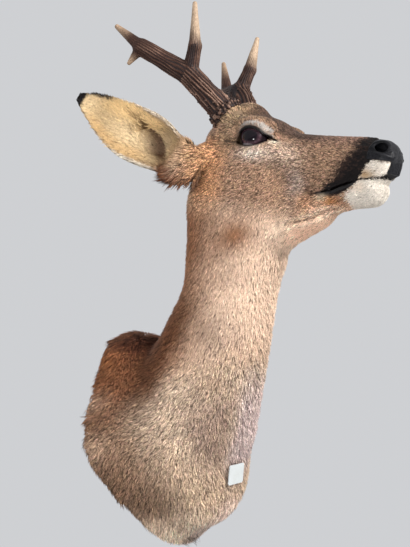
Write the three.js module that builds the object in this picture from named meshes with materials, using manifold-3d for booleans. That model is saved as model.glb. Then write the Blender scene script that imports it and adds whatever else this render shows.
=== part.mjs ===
// Roe deer shoulder mount: head, neck and shoulders of a buck on an egg-shaped wooden backboard.
// Millimetres. The wall is the plane y = 0, the animal looks towards -Y, +Z is up, its right side is -X.
// The origin is the middle of the backboard's back face.
import * as THREE from "three";
import { mergeVertices } from "three/addons/utils/BufferGeometryUtils.js";
import Module from "manifold-3d";

const wasm = await Module();
wasm.setup();

// ---------------------------------------------------------------- driving sizes
const GAP = 0.36; // clearance between neighbouring solids
const BODY_CELL = 12; // facet size on trunk and neck
const HEAD_CELL = 7.6; // facet size on the head
const ANTLER_CELL = 4.3;

// head frame: origin between the eyes; s runs to the nose, l to the animal's left, u up out of the forehead
const HEAD_AT = [0, -210, 212.5];
const HEAD_PITCH = 29.5; // degrees, nose below the horizon
const EYE_AT = [1, 27.5, -1];
const EYE_RADIUS = 12.8;

// shoulders: an egg lying against the wall, narrow at the withers
const TRUNK = { at: [0, 8, -6], r: [115, 58, 98], top: 0.74, z0: -35, z1: 95, bottom: 0.93, b0: -20, b1: -100 };
const CHEST = { at: [0, -36, -20], r: [74, 43, 74], blend: 34 };
const WITHERS = { at: [0, -8, 38], r: [62, 42, 67], blend: 26 };
// the skin is drawn in towards the bottom, where it ends in a point
const DRAWN_IN = { across: 0.72, down: 0.694, at: 98, blend: 24 };
// neck: stations [y, z], half width across, half depth fore and aft
const NECK = {
  path: [[-50, 8], [-86, 50], [-120, 92], [-142, 136], [-160, 172]],
  across: [66, 52, 43, 40, 38],
  deep: [60, 53, 46, 47, 47],
  blend: 24,
};
// soft throat between the jaws and the neck
const THROAT = { path: [[-150, 128], [-178, 136], [-229, 131]], across: [36, 30, 17], deep: [42, 29, 16], blend: 20 };

// muzzle and lower jaw: stations [s, u]
const MUZZLE = { path: [[0, -16], [40, -17], [75, -15.5], [104, -13], [113.5, -11.5]], across: [33, 27, 21.5, 19, 17.5], deep: [26, 25.7, 25, 23.5, 19.5] };
const JAW = { path: [[-20, -50], [30, -52], [70, -43], [110, -36.2]], across: [24, 21, 17, 13.5], deep: [24, 20, 15.5, 14.2] };
// line of the mouth, from the lips at the front back to the corner and down through the jaw
const MOUTH = [[150, -20.5], [127, -21.5], [104.5, -27.3], [91.6, -30.4], [67, -45.5], [47, -58], [41, -140]];

// antlers: one set of points each, they are not a matched pair
const ANTLERS = {
  right: { coronet: [-23, -187, 248], fork: [-38, -172, 291], front: [-45, -203, 347], crown: [-58, -144, 330], top: [-66, -130, 357], rear: [-61, -128, 321] },
  left: { coronet: [23, -187, 250], fork: [42, -176, 288], front: [56, -205, 335], crown: [68, -150, 304], top: [79, -151, 341], rear: [73, -138, 303] },
};
const BEAM_R = [12.6, 11];
const CORONET_R = 18;
// ears: root and tip in the head frame; half width, depth of the cup along the ear
const EARS = {
  right: { root: [-54, -44, -33], tip: [-147, -99, 15], side: -1 },
  left: { root: [-54, 44, -33], tip: [-140, 104, -6], side: 1 },
};
const EAR_ALONG = [-0.06, 0.15, 0.35, 0.55, 0.75, 0.9, 1];
const EAR_HALF = [13, 19, 25, 25, 18.5, 11, 4];
const EAR_DEEP = [14, 18, 17, 13, 9.5, 6.5, 4.5];
const EAR_OPEN = [0, 0.15, 1, 1, 1, 1, 1]; // share of the hollow that is open
const EAR_BACK = [-3, -1, 2, 3, 2, 0, 0]; // bow of the ear away from its opening
const EAR_UP = [0, 0, 0, 1.5, 1, 0, 0]; // bow of the ear across
const EAR_WALL = 4.2;
const EAR_RIM = 2.6;

// backboard, let into the back of the shoulders
const BOARD = { half: 85, low: -82, high: 74, thick: 16 };
const HANGER = { z: 46, width: 46, high: 9, thick: 1.4, recess: 3.6 };
const LABEL = { at: [-0.5, -74.6, -58.3], wide: 24, high: 18, thick: 0.9, lean: 4 };

// ---------------------------------------------------------------- distance functions
const smin = (a, b, k) => {
  const h = Math.max(k - Math.abs(a - b), 0) / k;
  return Math.min(a, b) - (h * h * h * k) / 6;
};
const smax = (a, b, k) => -smin(-a, -b, k);
const clamp = (x, a = 0, b = 1) => Math.min(Math.max(x, a), b);
const smooth = (t) => t * t * (3 - 2 * t);
const ellAt = (x, y, z, rx, ry, rz) => {
  const k0 = Math.sqrt((x / rx) ** 2 + (y / ry) ** 2 + (z / rz) ** 2);
  const k1 = Math.sqrt((x / rx ** 2) ** 2 + (y / ry ** 2) ** 2 + (z / rz ** 2) ** 2);
  return (k0 * (k0 - 1)) / Math.max(k1, 1e-9);
};
const ell = (p, c, r) => ellAt(p[0] - c[0], p[1] - c[1], p[2] - c[2], ...r);
const ball = (p, c, r) => Math.hypot(p[0] - c[0], p[1] - c[1], p[2] - c[2]) - r;
const cone = (p, a, b, ra, rb) => {
  const ab = [b[0] - a[0], b[1] - a[1], b[2] - a[2]];
  const q = [p[0] - a[0], p[1] - a[1], p[2] - a[2]];
  const t = clamp((q[0] * ab[0] + q[1] * ab[1] + q[2] * ab[2]) / (ab[0] ** 2 + ab[1] ** 2 + ab[2] ** 2));
  return Math.hypot(q[0] - t * ab[0], q[1] - t * ab[1], q[2] - t * ab[2]) - (ra + (rb - ra) * t);
};
// a smooth line through stations: each station is a row of numbers
const spline = (rows, n) => {
  const out = [];
  const last = rows.length - 1;
  for (let i = 0; i < last; i++) {
    const p0 = rows[Math.max(i - 1, 0)], p1 = rows[i], p2 = rows[i + 1], p3 = rows[Math.min(i + 2, last)];
    for (let k = 0; k < n; k++) {
      const t = k / n;
      out.push(p1.map((_, j) => 0.5 * (2 * p1[j] + (p2[j] - p0[j]) * t + (2 * p0[j] - 5 * p1[j] + 4 * p2[j] - p3[j]) * t * t + (3 * p1[j] - p0[j] - 3 * p2[j] + p3[j]) * t ** 3)));
    }
  }
  out.push(rows[last].slice());
  return out;
};
const stations = (o) => spline(o.path.map((p, i) => [p[0], p[1], o.across[i], o.deep[i]]), 4);
// chain of elliptical stations in the plane of symmetry; a is across, b and c lie in that plane
const tube = (a, b, c, st) => {
  let best = Infinity;
  for (let i = 0; i + 1 < st.length; i++) {
    const A = st[i], B = st[i + 1];
    const db = B[0] - A[0], dc = B[1] - A[1];
    const t = clamp(((b - A[0]) * db + (c - A[1]) * dc) / (db * db + dc * dc));
    const qb = b - A[0] - t * db, qc = c - A[1] - t * dc;
    const L = A[2] + (B[2] - A[2]) * t, D = A[3] + (B[3] - A[3]) * t;
    const r2 = qb * qb + qc * qc;
    const k0 = Math.sqrt((a / L) ** 2 + r2 / (D * D));
    const k1 = Math.sqrt((a / (L * L)) ** 2 + r2 / D ** 4);
    best = Math.min(best, (k0 * (k0 - 1)) / Math.max(k1, 1e-9));
  }
  return best;
};
const table = (t, xs, ys) => {
  let i = 0;
  while (i < xs.length - 2 && t > xs[i + 1]) i++;
  return ys[i] + ((ys[i + 1] - ys[i]) * clamp((t - xs[i]) / (xs[i + 1] - xs[i])));
};

// ---------------------------------------------------------------- the animal
const CP = Math.cos((HEAD_PITCH * Math.PI) / 180), SP = Math.sin((HEAD_PITCH * Math.PI) / 180);
const toHead = (p) => {
  const y = p[1] - HEAD_AT[1], z = p[2] - HEAD_AT[2];
  return [-CP * y - SP * z, p[0] - HEAD_AT[0], -SP * y + CP * z];
};
const fromHead = (q) => [HEAD_AT[0] + q[1], HEAD_AT[1] - CP * q[0] - SP * q[2], HEAD_AT[2] - SP * q[0] + CP * q[2]];

const MUZZLE_ST = stations(MUZZLE), JAW_ST = stations(JAW), NECK_ST = stations(NECK), THROAT_ST = stations(THROAT);
const headShape = (q) => {
  const m = [q[0], Math.abs(q[1]), q[2]];
  let d = ell(m, [-29, 0, -8], [36, 33, 30]); // braincase
  d = smin(d, ell(m, [-8, 0, 0], [36, 31, 22]), 14); // forehead
  d = smin(d, tube(q[1], q[0], q[2], MUZZLE_ST), 14);
  d = smin(d, tube(q[1], q[0], q[2], JAW_ST), 14);
  d = smin(d, ell(m, [-8, 23, -34], [38, 18, 36]), 16); // cheek muscle
  d = smin(d, ell(m, [12, 27, -15], [28, 13, 12]), 12); // cheekbone under the eye
  d = smin(d, ell(m, [0, 26.5, 9.5], [21, 10, 9]), 10); // brow
  d = smin(d, ell(m, [-46, 0, -64], [21, 36, 30]), 16); // muscle behind the ears
  d = smin(d, ball(m, [-46, 30, -22], 14), 14); // root of the ear
  d = smin(d, cone(m, [-26, 18, 2], [-34, 21, 16], 14, 15), 8); // pedicle
  d = smin(d, ell(m, [-26, 0, 14], [24, 17, 20]), 8); // crest of hair between the antlers
  d = smin(d, ell(m, [117.5, 0, -7.5], [12, 17.5, 16.5]), 6); // nose pad
  return d;
};
const trunkShape = (p) => {
  const T = TRUNK;
  const up = smooth(clamp((p[2] - T.z0) / (T.z1 - T.z0)));
  const dn = smooth(clamp((p[2] - T.b0) / (T.b1 - T.b0)));
  const w = (1 + (T.top - 1) * up) * (1 + (T.bottom - 1) * dn);
  return ell([p[0] / w, p[1], p[2]], T.at, T.r);
};
const fleshShape = (p) => {
  let d = trunkShape(p);
  d = smin(d, ell(p, CHEST.at, CHEST.r), CHEST.blend);
  d = smin(d, ell(p, WITHERS.at, WITHERS.r), WITHERS.blend);
  d = smax(d, Math.abs(p[0]) * DRAWN_IN.across - p[2] * DRAWN_IN.down - DRAWN_IN.at, DRAWN_IN.blend);
  d = smin(d, tube(p[0], p[1], p[2], NECK_ST), NECK.blend);
  d = smin(d, tube(p[0], p[1], p[2], THROAT_ST), THROAT.blend);
  d = smin(d, headShape(toHead(p)), 22);
  return d;
};
const antlerShape = (A) => {
  const V = (a) => new THREE.Vector3(...a);
  const ax = V(A.fork).sub(V(A.coronet)).normalize();
  const foot = V(A.coronet).addScaledVector(ax, -12).toArray();
  const bend = V(A.fork).lerp(V(A.front), 0.38).add(V([0, -4, 0])).toArray();
  return (p) => {
    let d = cone(p, foot, A.fork, BEAM_R[0], BEAM_R[1]);
    const q = V(p).sub(V(A.coronet));
    const h = q.dot(ax), r = Math.sqrt(Math.max(q.lengthSq() - h * h, 0));
    d = smin(d, Math.hypot(Math.max(r - (CORONET_R - 6), 0), h) - 6, 4);
    d = smin(d, cone(p, A.fork, A.crown, 10.3, 8.5), 4);
    d = smin(d, cone(p, A.fork, bend, 8, 6.5), 5);
    d = smin(d, cone(p, bend, A.front, 6.5, 2.6), 3);
    d = smin(d, cone(p, A.crown, A.top, 7, 2.9), 4);
    d = smin(d, cone(p, A.crown, A.rear, 6.5, 2.4), 4);
    return d;
  };
};
// a cup-shaped leaf lofted from the root to the tip: each station is a ring round the back of the ear and in along its hollow
const earSolid = (E) => {
  const b = new THREE.Vector3(...fromHead(E.root)), tip = new THREE.Vector3(...fromHead(E.tip));
  const ax = tip.clone().sub(b), long = ax.length();
  ax.normalize();
  const n = new THREE.Vector3(...fromHead([0.55, 0.83 * E.side, 0.02])).sub(new THREE.Vector3(...HEAD_AT));
  n.addScaledVector(ax, -n.dot(ax)).normalize();
  const w = new THREE.Vector3().crossVectors(ax, n).multiplyScalar(E.side);
  const rows = spline(EAR_ALONG.map((t, i) => [t, EAR_HALF[i], EAR_DEEP[i], EAR_OPEN[i], EAR_BACK[i], EAR_UP[i]]), 3);
  const half = 10;
  const verts = [], tri = [];
  for (const [t, hw, bd, open, back, up] of rows) {
    const o = b.clone().addScaledVector(ax, t * long).addScaledVector(n, -back).addScaledVector(w, up);
    for (let k = 0; k <= half; k++) {
      const a = (k / half) * Math.PI;
      verts.push(o.clone().addScaledVector(w, hw * Math.cos(a)).addScaledVector(n, -bd * Math.sin(a) ** 0.9));
    }
    const hi = Math.max(hw - EAR_RIM, hw * 0.55), di = Math.max(bd - EAR_WALL, bd * 0.35);
    for (let k = half; k >= 0; k--) {
      const a = (k / half) * Math.PI;
      const fill = 0.25 * hw * (1 - open) - di * open;
      verts.push(o.clone().addScaledVector(w, hi * Math.cos(a)).addScaledVector(n, fill * Math.sin(a) + 0.6));
    }
  }
  const ring = 2 * (half + 1);
  for (let r = 0; r + 1 < rows.length; r++) for (let k = 0; k < ring; k++) {
    const a = r * ring + k, c = r * ring + ((k + 1) % ring);
    tri.push(a, c, c + ring, a, c + ring, a + ring);
  }
  // close the root and the tip across the ring, strip by strip
  const cap = (r, flip) => {
    for (let k = 0; k < half; k++) {
      const q = [r * ring + k, r * ring + k + 1, r * ring + ring - 2 - k, r * ring + ring - 1 - k];
      const f = flip ? [q[0], q[2], q[1], q[0], q[3], q[2]] : [q[0], q[1], q[2], q[0], q[2], q[3]];
      tri.push(...f);
    }
  };
  cap(0, true);
  cap(rows.length - 1, false);
  const position = new Float32Array(verts.flatMap((v) => v.toArray()));
  const m = solid(position, new Uint32Array(tri));
  if (m.volume() > 0) return m;
  for (let i = 0; i < tri.length; i += 3) [tri[i + 1], tri[i + 2]] = [tri[i + 2], tri[i + 1]];
  return solid(position, new Uint32Array(tri));
};

// ---------------------------------------------------------------- surface of a distance function
// A cell the surface crosses holds one vertex for each sheet that passes through it; each crossed edge carries one quad.
// The vertices are then slid onto the surface.
const FACES = [[0, 2, 6, 4], [1, 3, 7, 5], [0, 1, 5, 4], [2, 3, 7, 6], [0, 1, 3, 2], [4, 5, 7, 6]];
function skinOnce(fn, lo, hi, h) {
  const n = [0, 1, 2].map((k) => Math.ceil((hi[k] - lo[k]) / h) + 1);
  const at = (i, j, k) => (i * n[1] + j) * n[2] + k;
  const D = new Float64Array(n[0] * n[1] * n[2]);
  for (let i = 0; i < n[0]; i++) for (let j = 0; j < n[1]; j++) for (let k = 0; k < n[2]; k++)
    D[at(i, j, k)] = fn([lo[0] + i * h, lo[1] + j * h, lo[2] + k * h]) || 1e-9;
  const corner = [];
  for (let c = 0; c < 8; c++) corner.push([c & 1, (c >> 1) & 1, (c >> 2) & 1]);
  const cells = new Map();
  const verts = [];
  for (let i = 0; i + 1 < n[0]; i++) for (let j = 0; j + 1 < n[1]; j++) for (let k = 0; k + 1 < n[2]; k++) {
    const v = corner.map((c) => D[at(i + c[0], j + c[1], k + c[2])]);
    const count = v.filter((x) => x < 0).length;
    if (count === 0 || count === 8) continue;
    // crossed edges that follow one another over the cell's faces belong to one sheet
    const sheet = new Map();
    const find = (x) => {
      while (sheet.get(x) !== x) x = sheet.get(x);
      return x;
    };
    for (let a = 0; a < 8; a++) for (let e = 0; e < 3; e++) {
      const b = a ^ (1 << e);
      if (b > a && v[a] < 0 !== v[b] < 0) sheet.set(a * 8 + b, a * 8 + b);
    }
    for (const f of FACES) {
      const crossed = [0, 1, 2, 3].map((m) => [f[m], f[(m + 1) % 4]]).filter(([a, b]) => v[a] < 0 !== v[b] < 0);
      const key = ([a, b]) => Math.min(a, b) * 8 + Math.max(a, b);
      const join = (p, q) => sheet.set(find(key(p)), find(key(q)));
      if (crossed.length === 2) join(crossed[0], crossed[1]);
      if (crossed.length === 4)
        for (let m = 0; m < 4; m++)
          if (v[f[m]] < 0) join(crossed[m], crossed[(m + 3) % 4]);
    }
    const ids = new Map();
    const sums = new Map();
    for (const edge of sheet.keys()) {
      const a = edge >> 3, b = edge & 7, key = find(edge);
      const t = v[a] / (v[a] - v[b]);
      const s = sums.get(key) || [0, 0, 0, 0];
      for (let x = 0; x < 3; x++) s[x] += corner[a][x] + (corner[b][x] - corner[a][x]) * t;
      s[3]++;
      sums.set(key, s);
    }
    for (const [key, s] of sums) {
      ids.set(key, verts.length);
      verts.push([lo[0] + (i + s[0] / s[3]) * h, lo[1] + (j + s[1] / s[3]) * h, lo[2] + (k + s[2] / s[3]) * h]);
    }
    cells.set(at(i, j, k), (edge) => ids.get(find(edge)));
  }
  const tri = [];
  const step = [[1, 0, 0], [0, 1, 0], [0, 0, 1]];
  for (let i = 1; i + 1 < n[0]; i++) for (let j = 1; j + 1 < n[1]; j++) for (let k = 1; k + 1 < n[2]; k++)
    for (let x = 0; x < 3; x++) {
      const e = step[x];
      const A = D[at(i, j, k)] < 0, B = D[at(i + e[0], j + e[1], k + e[2])] < 0;
      if (A === B) continue;
      const u = step[(x + 1) % 3], w = step[(x + 2) % 3];
      const c = (a, b) => {
        const o = [a * u[0] + b * w[0], a * u[1] + b * w[1], a * u[2] + b * w[2]];
        const cell = cells.get(at(i - o[0], j - o[1], k - o[2]));
        const near = o[0] + 2 * o[1] + 4 * o[2], far = near + e[0] + 2 * e[1] + 4 * e[2];
        return cell(near * 8 + far);
      };
      let q = [c(1, 1), c(0, 1), c(0, 0), c(1, 0)];
      if (!A) q = q.reverse();
      tri.push(q[0], q[1], q[2], q[0], q[2], q[3]);
    }
  const seen = new Set();
  for (let t = 0; t < tri.length; t += 3) for (let e = 0; e < 3; e++) {
    const key = tri[t + e] * verts.length + tri[t + ((e + 1) % 3)];
    if (seen.has(key)) throw new Error("two sheets share an edge");
    seen.add(key);
  }
  const eps = 0.2;
  for (const p of verts) {
    const p0 = p.slice();
    for (let it = 0; it < 3; it++) {
      const d = fn(p);
      const g = [0, 1, 2].map((x) => {
        const a = p.slice(), b = p.slice();
        a[x] += eps;
        b[x] -= eps;
        return (fn(a) - fn(b)) / (2 * eps);
      });
      const g2 = Math.max(g[0] ** 2 + g[1] ** 2 + g[2] ** 2, 0.1);
      for (let x = 0; x < 3; x++) p[x] = clamp(p[x] - (d * g[x]) / g2, p0[x] - h / 3, p0[x] + h / 3);
    }
  }
  return solid(new Float32Array(verts.flat()), new Uint32Array(tri));
}
// where two sheets meet in one cell the grid is moved a little and tried again
function skin(fn, lo, hi, h) {
  for (let k = 0; ; k++) {
    const o = (k * 0.37) % 1;
    try {
      return skinOnce(fn, lo.map((v) => v - o * h), hi, h);
    } catch (e) {
      if (k > 25) throw e;
    }
  }
}
const solid = (position, index) => new wasm.Manifold(new wasm.Mesh({ numProp: 3, vertProperties: position, triVerts: index }));
// a three.js geometry as a closed solid
const closed = (geometry) => {
  const g = geometry.index ? geometry.toNonIndexed() : geometry.clone();
  const bare = mergeVertices(new THREE.BufferGeometry().setAttribute("position", g.getAttribute("position")), 1e-4);
  return solid(new Float32Array(bare.attributes.position.array), new Uint32Array(bare.index.array));
};
const largest = (m) => m.decompose().sort((a, b) => b.volume() - a.volume())[0];
// `a` with room left round `b`; `dirs` are the ways in which `b` is to be kept off
const clear = (a, b, dirs, g = GAP) => {
  let r = a.subtract(b);
  for (const d of dirs) {
    const v = new THREE.Vector3(...d).normalize().multiplyScalar(g * 1.25);
    r = r.subtract(b.translate(v.toArray()));
  }
  return largest(r);
};
// directions for parts that stand on a surface along `axis`
const fan = (axis, spread = 0.8) => {
  const a = new THREE.Vector3(...axis).normalize();
  const p = new THREE.Vector3(1, 0, 0).cross(a).normalize(), q = new THREE.Vector3().crossVectors(a, p);
  return [0, 1, 2].map((k) => {
    const w = (k * 2 * Math.PI) / 3 + 0.5;
    return a.clone().addScaledVector(p, spread * Math.cos(w)).addScaledVector(q, spread * Math.sin(w)).toArray();
  });
};
// the two sides of a cut along the plane through `at` square to `normal`, half a gap taken from each
const part2 = (m, at, normal) => {
  const n = new THREE.Vector3(...normal).normalize();
  const o = n.dot(new THREE.Vector3(...at));
  return [m.trimByPlane(n.toArray(), o + GAP / 2), m.trimByPlane(n.clone().negate().toArray(), -(o - GAP / 2))].map(largest);
};

// ---------------------------------------------------------------- flesh
const whole = skin((p) => Math.max(fleshShape(p), p[1] - 6), [-140, -345, -125], [140, 16, 280], BODY_CELL).trimByPlane([0, -1, 0], 0);
const NAPE_CUT = { at: [0, -150, 158], normal: [0, -0.58, 0.81] };
const SHOULDER_CUT = { at: [0, -96, 66], normal: [0, -0.55, 0.83] };
const above = (c) => {
  const l = Math.hypot(...c.normal);
  return (p) => (c.normal[0] * (p[0] - c.at[0]) + c.normal[1] * (p[1] - c.at[1]) + c.normal[2] * (p[2] - c.at[2])) / l;
};
const overNape = above(NAPE_CUT);
const fineHead = skin((p) => Math.max(fleshShape(p), -overNape(p) - 9), [-75, -345, 60], [75, -60, 285], HEAD_CELL);
const [, lower] = part2(whole, NAPE_CUT.at, NAPE_CUT.normal);
const [neck0, trunk0] = part2(lower, SHOULDER_CUT.at, SHOULDER_CUT.normal);
let head = largest(fineHead.trimByPlane(new THREE.Vector3(...NAPE_CUT.normal).normalize().toArray(),
  new THREE.Vector3(...NAPE_CUT.normal).normalize().dot(new THREE.Vector3(...NAPE_CUT.at)) + GAP / 2));

// a prism across the head over an outline of [s, u] points
const acrossHead = (outline) => {
  const shape = new THREE.Shape(outline.map((p) => new THREE.Vector2(...p)));
  const g = new THREE.ExtrudeGeometry(shape, { depth: 160, bevelEnabled: false });
  g.translate(0, 0, -80);
  // shape x -> s, shape y -> u, depth -> l
  const S = fromHead([1, 0, 0]).map((v, i) => v - HEAD_AT[i]), U = fromHead([0, 0, 1]).map((v, i) => v - HEAD_AT[i]);
  const m = new THREE.Matrix4().makeBasis(new THREE.Vector3(...S), new THREE.Vector3(...U), new THREE.Vector3().crossVectors(new THREE.Vector3(...S), new THREE.Vector3(...U)));
  m.setPosition(...HEAD_AT);
  g.applyMatrix4(m);
  return closed(g);
};
const jawBlock = acrossHead([...MOUTH, [150, -140]]);
const noseBlock = (grow) => {
  const g = new THREE.IcosahedronGeometry(1, 6);
  g.scale(14 + grow, 30 + grow, 19 + grow);
  const m = new THREE.Matrix4().makeBasis(
    new THREE.Vector3(0, -CP, -SP), new THREE.Vector3(1, 0, 0), new THREE.Vector3(0, -SP, CP));
  m.setPosition(...fromHead([127, 0, -4]));
  g.applyMatrix4(m);
  return closed(g);
};
const headUp = [0, -SP, CP], headBack = [0, CP, SP];
const lowerJaw = largest(head.intersect(jawBlock));
head = largest(head.subtract(jawBlock.translate(headUp.map((v) => v * GAP))).subtract(jawBlock.translate(headBack.map((v) => v * GAP))));
const nose = largest(head.intersect(noseBlock(0)));
head = largest(head.subtract(noseBlock(GAP)));

// eyes, seated in their sockets
const eyeBall = (side, r) => closed(new THREE.IcosahedronGeometry(r, 3).translate(...fromHead([EYE_AT[0], side * EYE_AT[1], EYE_AT[2]])));
const eyes = { eye_right: eyeBall(-1, EYE_RADIUS), eye_left: eyeBall(1, EYE_RADIUS) };
for (const side of [-1, 1]) head = largest(head.subtract(eyeBall(side, EYE_RADIUS + GAP)));

// ---------------------------------------------------------------- ears and antlers
const box = (points, grow) => [0, 1].map((s) => [0, 1, 2].map((k) => (s ? Math.max : Math.min)(...points.map((p) => p[k])) + (s ? grow : -grow)));
const ears = {}, antlers = {};
const rooms = [head, neck0];
for (const [name, E] of Object.entries(EARS)) {
  let e = earSolid(E);
  const along = E.tip.map((v, k) => v - E.root[k]);
  const axis = fromHead(along).map((v, k) => v - HEAD_AT[k]);
  for (const r of rooms) e = clear(e, r, [axis]);
  ears["ear_" + name] = e;
}
for (const [name, A] of Object.entries(ANTLERS)) {
  const [lo, hi] = box(Object.values(A), 26);
  let m = skin(antlerShape(A), lo, hi, ANTLER_CELL);
  m = clear(m, head, fan(A.fork.map((v, k) => v - A.coronet[k])));
  const V = (a) => new THREE.Vector3(...a);
  // main forks: the front tine leaves the beam, then the beam ends in the crown's two points
  const mid = (a, b, t) => V(a).lerp(V(b), t).toArray();
  const dir = (a, b) => V(b).sub(V(a)).normalize().toArray();
  const tineBox = (a, b, t, size) => {
    const g = new THREE.BoxGeometry(size, size, 200);
    g.translate(0, 0, 100);
    const q = new THREE.Quaternion().setFromUnitVectors(new THREE.Vector3(0, 0, 1), V(dir(a, b)));
    g.applyQuaternion(q);
    g.translate(...mid(a, b, t));
    return closed(g);
  };
  const front = tineBox(A.fork, A.front, 0.2, 30);
  antlers["antler_" + name + "_front_tine"] = largest(m.intersect(front));
  m = clear(m, front, [A.fork.map((v, k) => v - A.front[k]), ...fan(A.fork.map((v, k) => v - A.front[k]), 1)]);
  const top = tineBox(A.crown, A.top, 0.14, 24), rear = tineBox(A.crown, A.rear, 0.34, 20);
  antlers["antler_" + name + "_rear_tine"] = largest(m.intersect(rear));
  m = clear(m, rear, fan(A.crown.map((v, k) => v - A.rear[k]), 1));
  antlers["antler_" + name + "_top"] = largest(m.intersect(top));
  m = clear(m, top, fan(A.crown.map((v, k) => v - A.top[k]), 1));
  antlers["antler_" + name + "_beam"] = largest(m);
}

// ---------------------------------------------------------------- backboard, hanger, label
const eggOutline = (grow) => {
  const pts = [];
  const zc = (BOARD.high + BOARD.low) / 2, half = (BOARD.high - BOARD.low) / 2;
  for (let i = 0; i < 56; i++) {
    const a = (i / 56) * 2 * Math.PI;
    const z = zc + (half + grow) * Math.sin(a);
    const up = smooth(clamp((z - TRUNK.z0) / (TRUNK.z1 - TRUNK.z0)));
    pts.push(new THREE.Vector2((BOARD.half + grow) * Math.cos(a) * (1 - 0.24 * up), z));
  }
  return new THREE.Shape(pts);
};
// extruded from the wall (y = 0) towards the animal
const fromWall = (shape, y0, y1) => {
  const g = new THREE.ExtrudeGeometry(shape, { depth: y0 - y1, bevelEnabled: false });
  g.rotateX(Math.PI / 2); // depth +z -> -y
  g.translate(0, y0, 0);
  return closed(g);
};
const pocket = fromWall(eggOutline(GAP), 8, -(BOARD.thick + GAP));
const recess = closed(new THREE.BoxGeometry(HANGER.width + 6, 8, HANGER.high + 12).translate(0, 4 - HANGER.recess, HANGER.z));
const board = fromWall(eggOutline(0), 0, -BOARD.thick).subtract(recess);
const trunk = largest(trunk0.subtract(pocket));
// steel strip with teeth along its lower edge
const toothed = (() => {
  const s = new THREE.Shape();
  const w = HANGER.width / 2, h = HANGER.high / 2;
  s.moveTo(-w, h);
  s.lineTo(-w, -h);
  const n = 9, x0 = -13, x1 = 13;
  for (let i = 0; i < n; i++) {
    const a = x0 + ((x1 - x0) * i) / n, b = x0 + ((x1 - x0) * (i + 1)) / n;
    s.lineTo(a, -h);
    s.lineTo((a + b) / 2, -h + 1.8);
    if (i === n - 1) s.lineTo(b, -h);
  }
  s.lineTo(w, -h);
  s.lineTo(w, h);
  return s;
})();
const hangerY = -(HANGER.recess - GAP);
const hanger = fromWall(toothed, hangerY + HANGER.thick, hangerY).translate([0, 0, HANGER.z]);
const screw = (x) => closed(new THREE.CylinderGeometry(2.1, 2.7, 1.1, 20).translate(x, hangerY + HANGER.thick + GAP + 0.55, HANGER.z));
const normalAt = (p) => {
  const e = 0.5;
  return new THREE.Vector3(...[0, 1, 2].map((k) => {
    const a = p.slice(), b = p.slice();
    a[k] += e;
    b[k] -= e;
    return fleshShape(a) - fleshShape(b);
  })).normalize();
};
const label = (() => {
  const p = LABEL.at.slice();
  for (let i = 0; i < 30; i++) {
    const d = fleshShape(p), n = normalAt(p);
    for (let k = 0; k < 3; k++) p[k] -= d * n.getComponent(k);
  }
  const n = normalAt(p);
  const up = new THREE.Vector3(0, 0, 1).addScaledVector(n, -n.z).normalize();
  const across = new THREE.Vector3().crossVectors(up, n);
  const shape = new THREE.Shape();
  const w = LABEL.wide / 2, h = LABEL.high / 2, r = 2;
  shape.moveTo(-w + r, -h);
  shape.lineTo(w - r, -h); shape.absarc(w - r, -h + r, r, -Math.PI / 2, 0);
  shape.lineTo(w, h - r); shape.absarc(w - r, h - r, r, 0, Math.PI / 2);
  shape.lineTo(-w + r, h); shape.absarc(-w + r, h - r, r, Math.PI / 2, Math.PI);
  shape.lineTo(-w, -h + r); shape.absarc(-w + r, -h + r, r, Math.PI, Math.PI * 1.5);
  const g = new THREE.ExtrudeGeometry(shape, { depth: LABEL.thick, bevelEnabled: false, curveSegments: 3 });
  g.rotateZ((LABEL.lean * Math.PI) / 180);
  const m = new THREE.Matrix4().makeBasis(across, up, n);
  m.setPosition(new THREE.Vector3(...p).addScaledVector(n, 0.4));
  g.applyMatrix4(m);
  return clear(closed(g), trunk, [n.toArray()]);
})();

// ---------------------------------------------------------------- meshes
const root = new THREE.Group();
const add = (name, m, colour, roughness, metalness = 0) => {
  const mesh = m.getMesh(), n = mesh.numProp, v = new Float32Array(mesh.numVert * 3);
  for (let i = 0; i < mesh.numVert; i++) v.set(mesh.vertProperties.subarray(i * n, i * n + 3), i * 3);
  const g = new THREE.BufferGeometry();
  g.setAttribute("position", new THREE.BufferAttribute(v, 3));
  g.setIndex(new THREE.BufferAttribute(new Uint32Array(mesh.triVerts), 1));
  g.computeVertexNormals();
  const o = new THREE.Mesh(g, new THREE.MeshStandardMaterial({ color: colour, roughness, metalness }));
  o.name = name;
  root.add(o);
};
add("trunk", trunk, 0x8d755b, 0.95);
add("neck", neck0, 0x927a60, 0.95);
add("head", head, 0x836b54, 0.95);
add("lower_jaw", lowerJaw, 0xd9cfc0, 0.95);
add("nose", nose, 0x17161a, 0.45);
for (const [name, m] of Object.entries(eyes)) add(name, m, 0x1a0f0b, 0.06);
for (const [name, m] of Object.entries(ears)) add(name, m, 0xb8935f, 0.95);
for (const [name, m] of Object.entries(antlers)) add(name, m, 0x4b3227, 0.7);
add("backboard", board, 0x6f4a2c, 0.6);
add("hanger", hanger, 0xb9b9b5, 0.35, 1);
add("hanger_screw_left", screw(HANGER.width / 2 - 5), 0xb9b9b5, 0.35, 1);
add("hanger_screw_right", screw(-(HANGER.width / 2 - 5)), 0xb9b9b5, 0.35, 1);
add("label", label, 0xf2f2ee, 0.6);
export default root;
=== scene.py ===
import math
import bpy
import numpy as np
from mathutils import Matrix, Vector


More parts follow.
